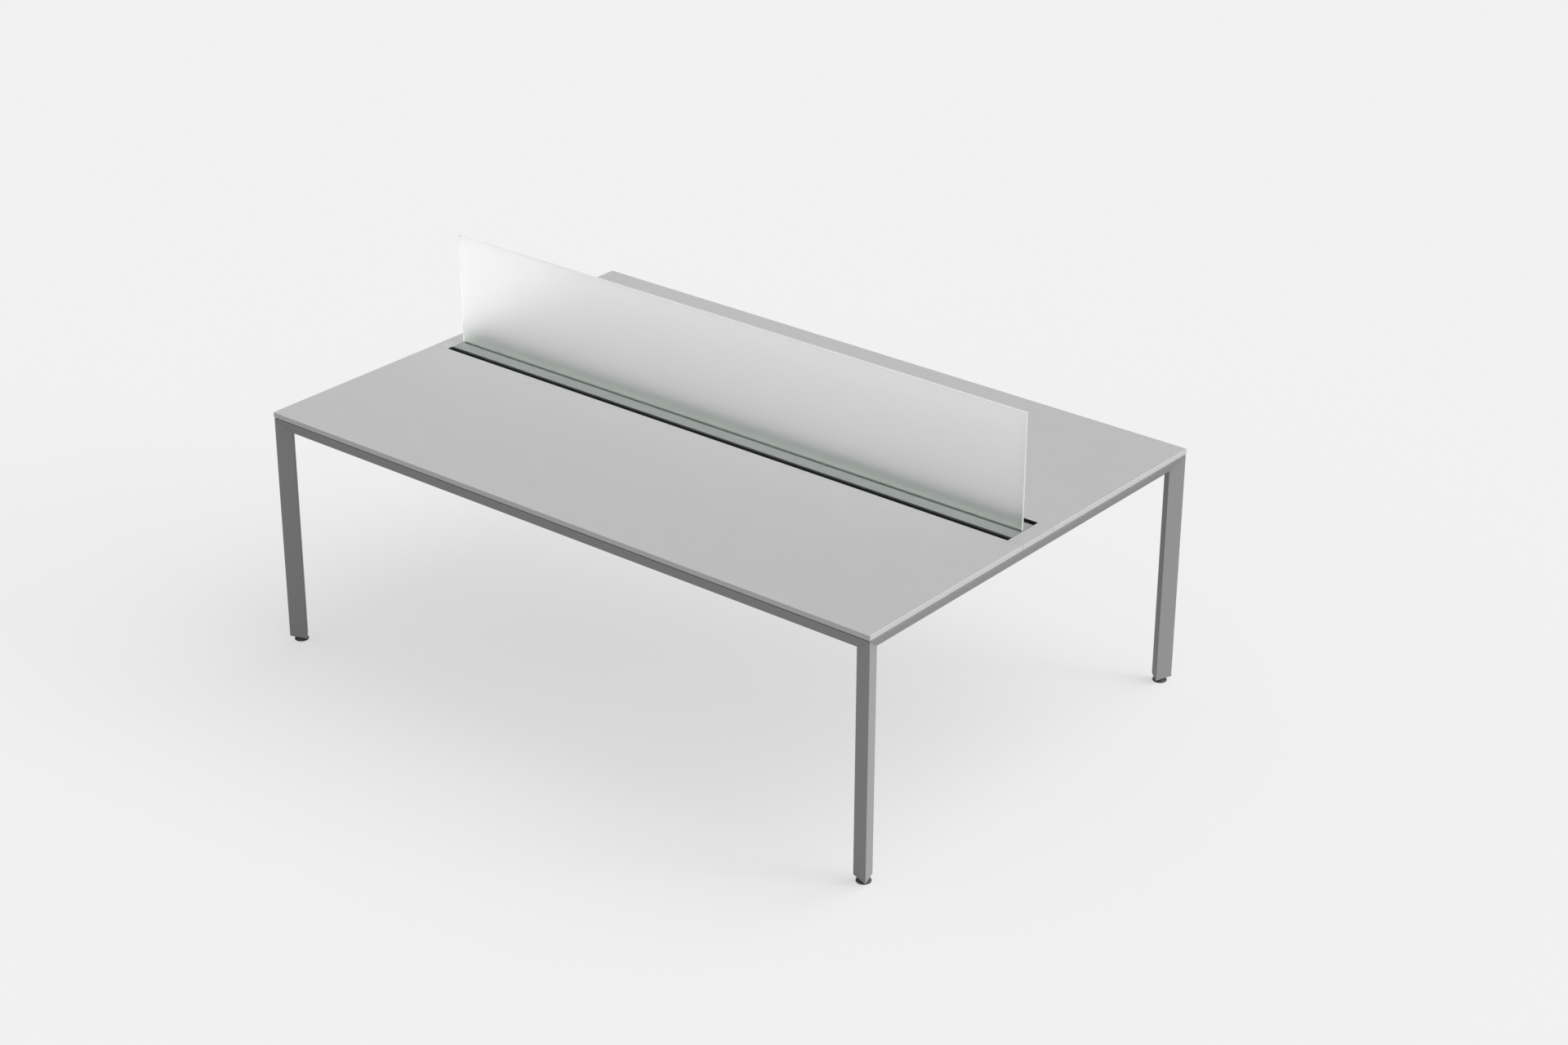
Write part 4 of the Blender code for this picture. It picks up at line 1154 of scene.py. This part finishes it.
def make_thread(radius, depth, pitch, low, high, steps):
    """A threaded rod on the Z axis: a V profile wound upwards, then cut off flat at both ends."""
    turns = int(math.ceil((high - low) / pitch)) + 3
    start = low - 1.5 * pitch
    bpy.ops.object.select_all(action="DESELECT")
    bpy.ops.mesh.primitive_plane_add(
        size=pitch, location=(radius, 0, start + pitch / 2), rotation=(math.pi / 2, 0, 0))
    bpy.ops.object.transform_apply(location=True, rotation=True, scale=True)
    rod = bpy.context.object
    enter(rod)
    pick_edges(lambda middle, way, normals: runs_along(way, Z) and middle.x < radius)
    bpy.ops.mesh.select_all(action="INVERT")
    bpy.ops.mesh.delete(type="EDGE")
    bpy.ops.mesh.select_all(action="SELECT")
    bpy.ops.mesh.subdivide(number_cuts=3)
    mesh = bpy.context.edit_object.data
    shape = bmesh.from_edit_mesh(mesh)
    for vertex in shape.verts:
        from_crest = abs((vertex.co.z - start) / pitch - 0.5) * 2
        vertex.co.x = radius - depth * from_crest
    bmesh.update_edit_mesh(mesh)
    leave()
    bpy.ops.object.modifier_add(type="SCREW")
    modifier = rod.modifiers[-1]
    modifier.axis = "Z"
    modifier.screw_offset = pitch
    modifier.iterations = turns
    modifier.steps = steps
    modifier.render_steps = steps
    modifier.use_merge_vertices = True
    modifier.merge_threshold = MERGE_DISTANCE
    bpy.ops.object.modifier_apply(modifier=modifier.name)
    enter(rod)
    bpy.ops.mesh.select_all(action="SELECT")
    bpy.ops.mesh.remove_doubles(threshold=MERGE_DISTANCE)
    bpy.ops.mesh.bisect(
        plane_co=(0, 0, low), plane_no=(0, 0, 1), use_fill=True, clear_inner=True)
    bpy.ops.mesh.select_all(action="SELECT")
    bpy.ops.mesh.bisect(
        plane_co=(0, 0, high), plane_no=(0, 0, 1), use_fill=True, clear_outer=True)
    bpy.ops.mesh.select_all(action="SELECT")
    bpy.ops.mesh.normals_make_consistent(inside=False)
    leave()
    return rod


def make_feet():
    """Four ribbed discs and four threaded studs."""
    disc = make_foot_disc()
    stud = make_thread(STUD_RADIUS, STUD_DEPTH, STUD_PITCH, STUD_LOW, STUD_HIGH, STUD_STEPS)
    for corner, side_x, side_y in CORNERS:
        x, y = foot_place(side_x, side_y)
        foot = copy_to(disc, (x, y, 0))
        name_piece(foot, "foot_disc_" + corner + "_ribbed", FOOT_PLASTIC, "black_plastic",
                   "foot_disc_" + corner, "foot_base_" + corner)
        screw = copy_to(stud, (x, y, 0))
        name_piece(screw, "foot_stud_" + corner + "_threaded", ZINC_STEEL, "zinc_plated_steel",
                   "foot_screw_" + corner, "foot_stud_" + corner)
    drop(disc, stud)


def dress_nodes():
    """Each CAD piece gets the finish that its name calls for."""
    for name, node in NODES.items():
        for start, finish, slot in FINISHES:
            if name.startswith(start):
                node.data.materials.clear()
                node.data.materials.append(finish)
                break


place_camera()
light_sky()
hang_lamp("key_lamp", KEY_WAY, KEY_LEVEL, KEY_SPREAD)
hang_lamp("side_lamp", SIDE_WAY, SIDE_LEVEL, SIDE_SPREAD)
lay_floor()
dress_nodes()
make_glass()
dress_tubes()
for side_name, side in SIDES:
    make_edge_band(side_name, side)
    make_gasket(side_name, side)
    make_slot_shade_lining(side_name, side)
make_slot_end_shades()
for end_name, side in ENDS:
    make_end_piece(end_name, side)
bolt = make_hex_bolt(*BEAM_BOLT)
button = make_button_screw(*BUTTON_SCREW)
wood_screw = make_button_screw(*WOOD_SCREW)
make_beam_plates(bolt)
make_seam_screws(button)
make_fixing_plates(wood_screw)
make_bar()
make_slot_trim_shades()
make_saddles(button)
make_tray(button)
make_tray_covers(button)
drop(bolt, button, wood_screw)
make_feet()

bpy.context.scene.view_settings.view_transform = "Standard"
